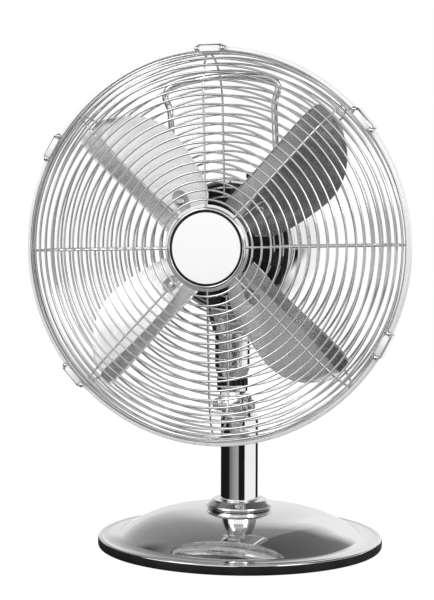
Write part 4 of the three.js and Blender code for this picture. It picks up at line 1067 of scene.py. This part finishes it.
def smooth_through(knots, t):
    """A point on the smooth line through the knots, t from 0 to 1."""
    spot = t * (len(knots) - 1)
    i = min(int(spot), len(knots) - 2)
    u = spot - i
    p = [Vector(knots[min(max(i + k, 0), len(knots) - 1)]) for k in (-1, 0, 1, 2)]
    return 0.5 * (2 * p[1] + (p[2] - p[0]) * u + (2 * p[0] - 5 * p[1] + 4 * p[2] - p[3]) * u * u
                  + (3 * p[1] - p[0] - 3 * p[2] + p[3]) * u ** 3)


def ramped(value, low, high):
    """Goes softly from 0 at the low value to 1 at the high one."""
    t = min(max((value - low) / (high - low), 0), 1)
    return t * t * (3 - 2 * t)


def blade():
    """One blade, with X outward and Z forward: twisted, and pressed back along its crease."""
    shares = [0, 0.02, 0.08, 0.2, 0.4, 0.6, 0.8, 0.92, 0.98]
    shape = bmesh.new()
    uv = shape.loops.layers.uv.new("UVMap")
    rows, places = [], {}
    count = 96
    for k in range(count + 1):
        radius, belly, straight, fold_at = smooth_through(outline, k / count)
        pitch = math.radians(root_angle - 8 * ramped(radius, 64, 150))
        deep = 2.4 + 1.4 * ramped(radius, 40, 70)
        chords = [belly + (fold_at - belly) * t for t in shares] + [fold_at]
        chords += [straight - (straight - fold_at) * t for t in shares[::-1]]
        front_row, back_row = [], []
        for chord in chords:
            if chord <= fold_at:
                rise = (chord - belly) / (fold_at - belly)
            else:
                rise = (straight - chord) / (straight - fold_at)
            # Half the sheet, thinned where its edge was rounded over.
            half = 0.6 if rise > 0.03 else 0.35
            for row, side in ((front_row, half), (back_row, -half)):
                forward_by = side - deep * rise
                corner = shape.verts.new((radius, chord * math.cos(pitch) - forward_by * math.sin(pitch),
                                          chord * math.sin(pitch) + forward_by * math.cos(pitch)))
                places[corner] = (radius / 100, chord / 100)
                row.append(corner)
        rows.append((front_row, back_row))
    for (front_a, back_a), (front_b, back_b) in zip(rows, rows[1:]):
        for j in range(len(front_a) - 1):
            shape.faces.new((front_a[j], front_b[j], front_b[j + 1], front_a[j + 1]))
            shape.faces.new((back_a[j], back_a[j + 1], back_b[j + 1], back_b[j]))
        for j in (0, -1):
            shape.faces.new((front_a[j], back_a[j], back_b[j], front_b[j]))
    for front_row, back_row in (rows[0], rows[-1]):
        for j in range(len(front_row) - 1):
            shape.faces.new((front_row[j], front_row[j + 1], back_row[j + 1], back_row[j]))
    for side in shape.faces:
        for loop in side.loops:
            loop[uv].uv = places[loop.vert]
    return plain_mesh("blade", shape)


root_pitch = Matrix.Rotation(math.radians(root_angle), 4, "X")
rivet = revolved([(0, -4.5), (3.6, -4.5, 0.6), (3.6, -3.1), (2.2, -3.1), (2.2, 0.4), (4.2, 0.6, 0.3),
                  (3.5, 1.7, 1.0), (0, 2.2)], root_pitch @ Matrix.Translation((53, 0, 0)), 28)
stood_forward = axle @ Matrix.Translation((0, 0, blade_forward))
fan_blades = ringed(blade(), blade_count, satin, first_blade)
rivets = ringed(rivet, blade_count, steel, first_blade)
blade_nodes = [f"blade_{i}" for i in range(1, blade_count + 1)]
piece("fan_blades", fan_blades, satin, "blade_metal", "propeller", *blade_nodes, at=stood_forward,
      crease=12)
piece("blade_rivets", rivets, steel, "steel", "propeller", at=stood_forward)


# ---------------------------------------------------------------- blade hub, shaft and spinner
# The steel hub is pressed on the shaft and its four flat arms carry the blades. A moulded nut
# with lugs for the fingers screws on in front of it and keeps it there.
barrel = [(4.3, 62), (12, 62, 0.8), (12, 88, 0.8), (9, 88, 0.5), (8, 86.5, 0.5), (4.3, 86.5)]
arm_outline = [(8, -8), (30, -8.5), (56, -8.5)] + arc(56, -1.5, 7, -80, 80, 12) + [(30, 5.5), (8, 6)]
forth = Matrix.Translation((0, 0, blade_forward))
home = Matrix.Translation((0, 0, -blade_forward))
arm = plate(arm_outline, blade_forward - 3.1, blade_forward - 0.9, 0.4, forth @ root_pitch @ home)
hub = merged(revolved(barrel, sides=64), ringed(arm, blade_count, zinced, first_blade))
piece("blade_spider", hub, zinced, "steel", "propeller", "blade_hub", at=axle)

spun, tree, shader = finish("turned_shaft_steel", (0.55, 0.56, 0.57), 1, 0.25)
tinted(tree, shader, grain(tree, 60, stretch=(1, 14, 1)), (0.46, 0.47, 0.48), (0.64, 0.65, 0.66))
tree.links.new(spread(tree, grain(tree, 200, stretch=(1, 10, 1)), 0.18, 0.36), shader.inputs["Roughness"])
keep("motor_shaft", spun)

nut_front = -1000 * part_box("spinner_nut")[0].y
spinner = [(4.3, nut_front - 9), (10, nut_front - 9, 0.4), (10, nut_front - 2.6, 1.6),
           (7, nut_front, 1.0), (0, nut_front), (0, nut_front - 1), (4.3, nut_front - 1)]
lug = plate([(9.2, -1.1), (10.5, -0.8), (10.5, 0.8), (9.2, 1.1)], nut_front - 8.6, nut_front - 3, 0.3)
lugged = merged(revolved(spinner, sides=48), ringed(lug, 10, plastic))
piece("spinner", lugged, plastic, "black_plastic", "propeller", "spinner_nut", at=axle)


# ---------------------------------------------------------------- carry handle
# One length of chromed 6 mm rod, bent to a flared loop behind the guard's top and flattened to
# two screwed feet on the motor.
def rod_along(path, radius):
    """A round rod on a smooth path, closed at both ends."""
    sides = 20
    shape = bmesh.new()
    last = len(path) - 1
    tangents = [(path[min(k + 1, last)] - path[max(k - 1, 0)]).normalized() for k in range(last + 1)]
    side = tangents[0].orthogonal().normalized()
    rings = []
    for point, along in zip(path, tangents):
        side = (side - along * side.dot(along)).normalized()
        other = along.cross(side)
        rings.append([shape.verts.new(point + (side * math.cos(a) + other * math.sin(a)) * radius)
                      for a in (2 * math.pi * j / sides for j in range(sides))])
    for here, following in zip(rings, rings[1:]):
        for j in range(sides):
            after = (j + 1) % sides
            shape.faces.new((here[j], here[after], following[after], following[j]))
    for ring, point in ((rings[0], path[0]), (rings[-1], path[-1])):
        tip_vertex = shape.verts.new(point)
        for j in range(sides):
            shape.faces.new((ring[j], ring[(j + 1) % sides], tip_vertex))
    return plain_mesh("rod", shape)


loop_forward = 38
foot_forward = loop_forward - 22
foot_turn = math.radians(50)
foot_reach = motor_radius + 3.3
foot_side, foot_up = math.sin(foot_turn) * foot_reach, math.cos(foot_turn) * foot_reach
side_knots = [(foot_side, foot_up, foot_forward), (49.5, foot_up + 12, loop_forward - 6)]
side_knots += [(x, y, loop_forward) for x, y in
               ((49.5, 70), (49.5, 116), (50.5, 130), (54, 141), (49, 149), (32.4, 152.9))]
knots = [(-x, y, z) for x, y, z in side_knots] + [(0, 155.5, loop_forward)] + side_knots[::-1]
rod_radius = 3.0
bends = 220
handle_rod = rod_along([smooth_through(knots, k / bends) for k in range(bends + 1)], rod_radius)
pad_outline = [(-6, 8), (6, 8)] + arc(0, -2, 6, 0, -180, 14)
pad_screw = [(0, 1), (3.2, 1), (3.2, 3.0, 0.5), (2.4, 3.6, 0.3), (0, 3.6)]
on_drum = Matrix.Translation((0, motor_radius + 0.3, foot_forward))
feet = []
for side in (-1, 1):
    turned_to = Matrix.Rotation(-side * foot_turn, 4, "Z")
    lie = turned_to @ on_drum @ Matrix.Rotation(math.radians(-90), 4, "X")
    feet.append(plate(pad_outline, 0, 2.2, 0.6, lie))
    feet.append(revolved(pad_screw, lie @ Matrix.Translation((0, -4.5, 0)), 28))
handle = merged(handle_rod, *feet)
leaning = axle @ Matrix.Rotation(math.radians(3), 4, "Z")
piece("carry_loop", handle, chrome, "chrome", "head", "carry_handle", at=leaning, crease=50)
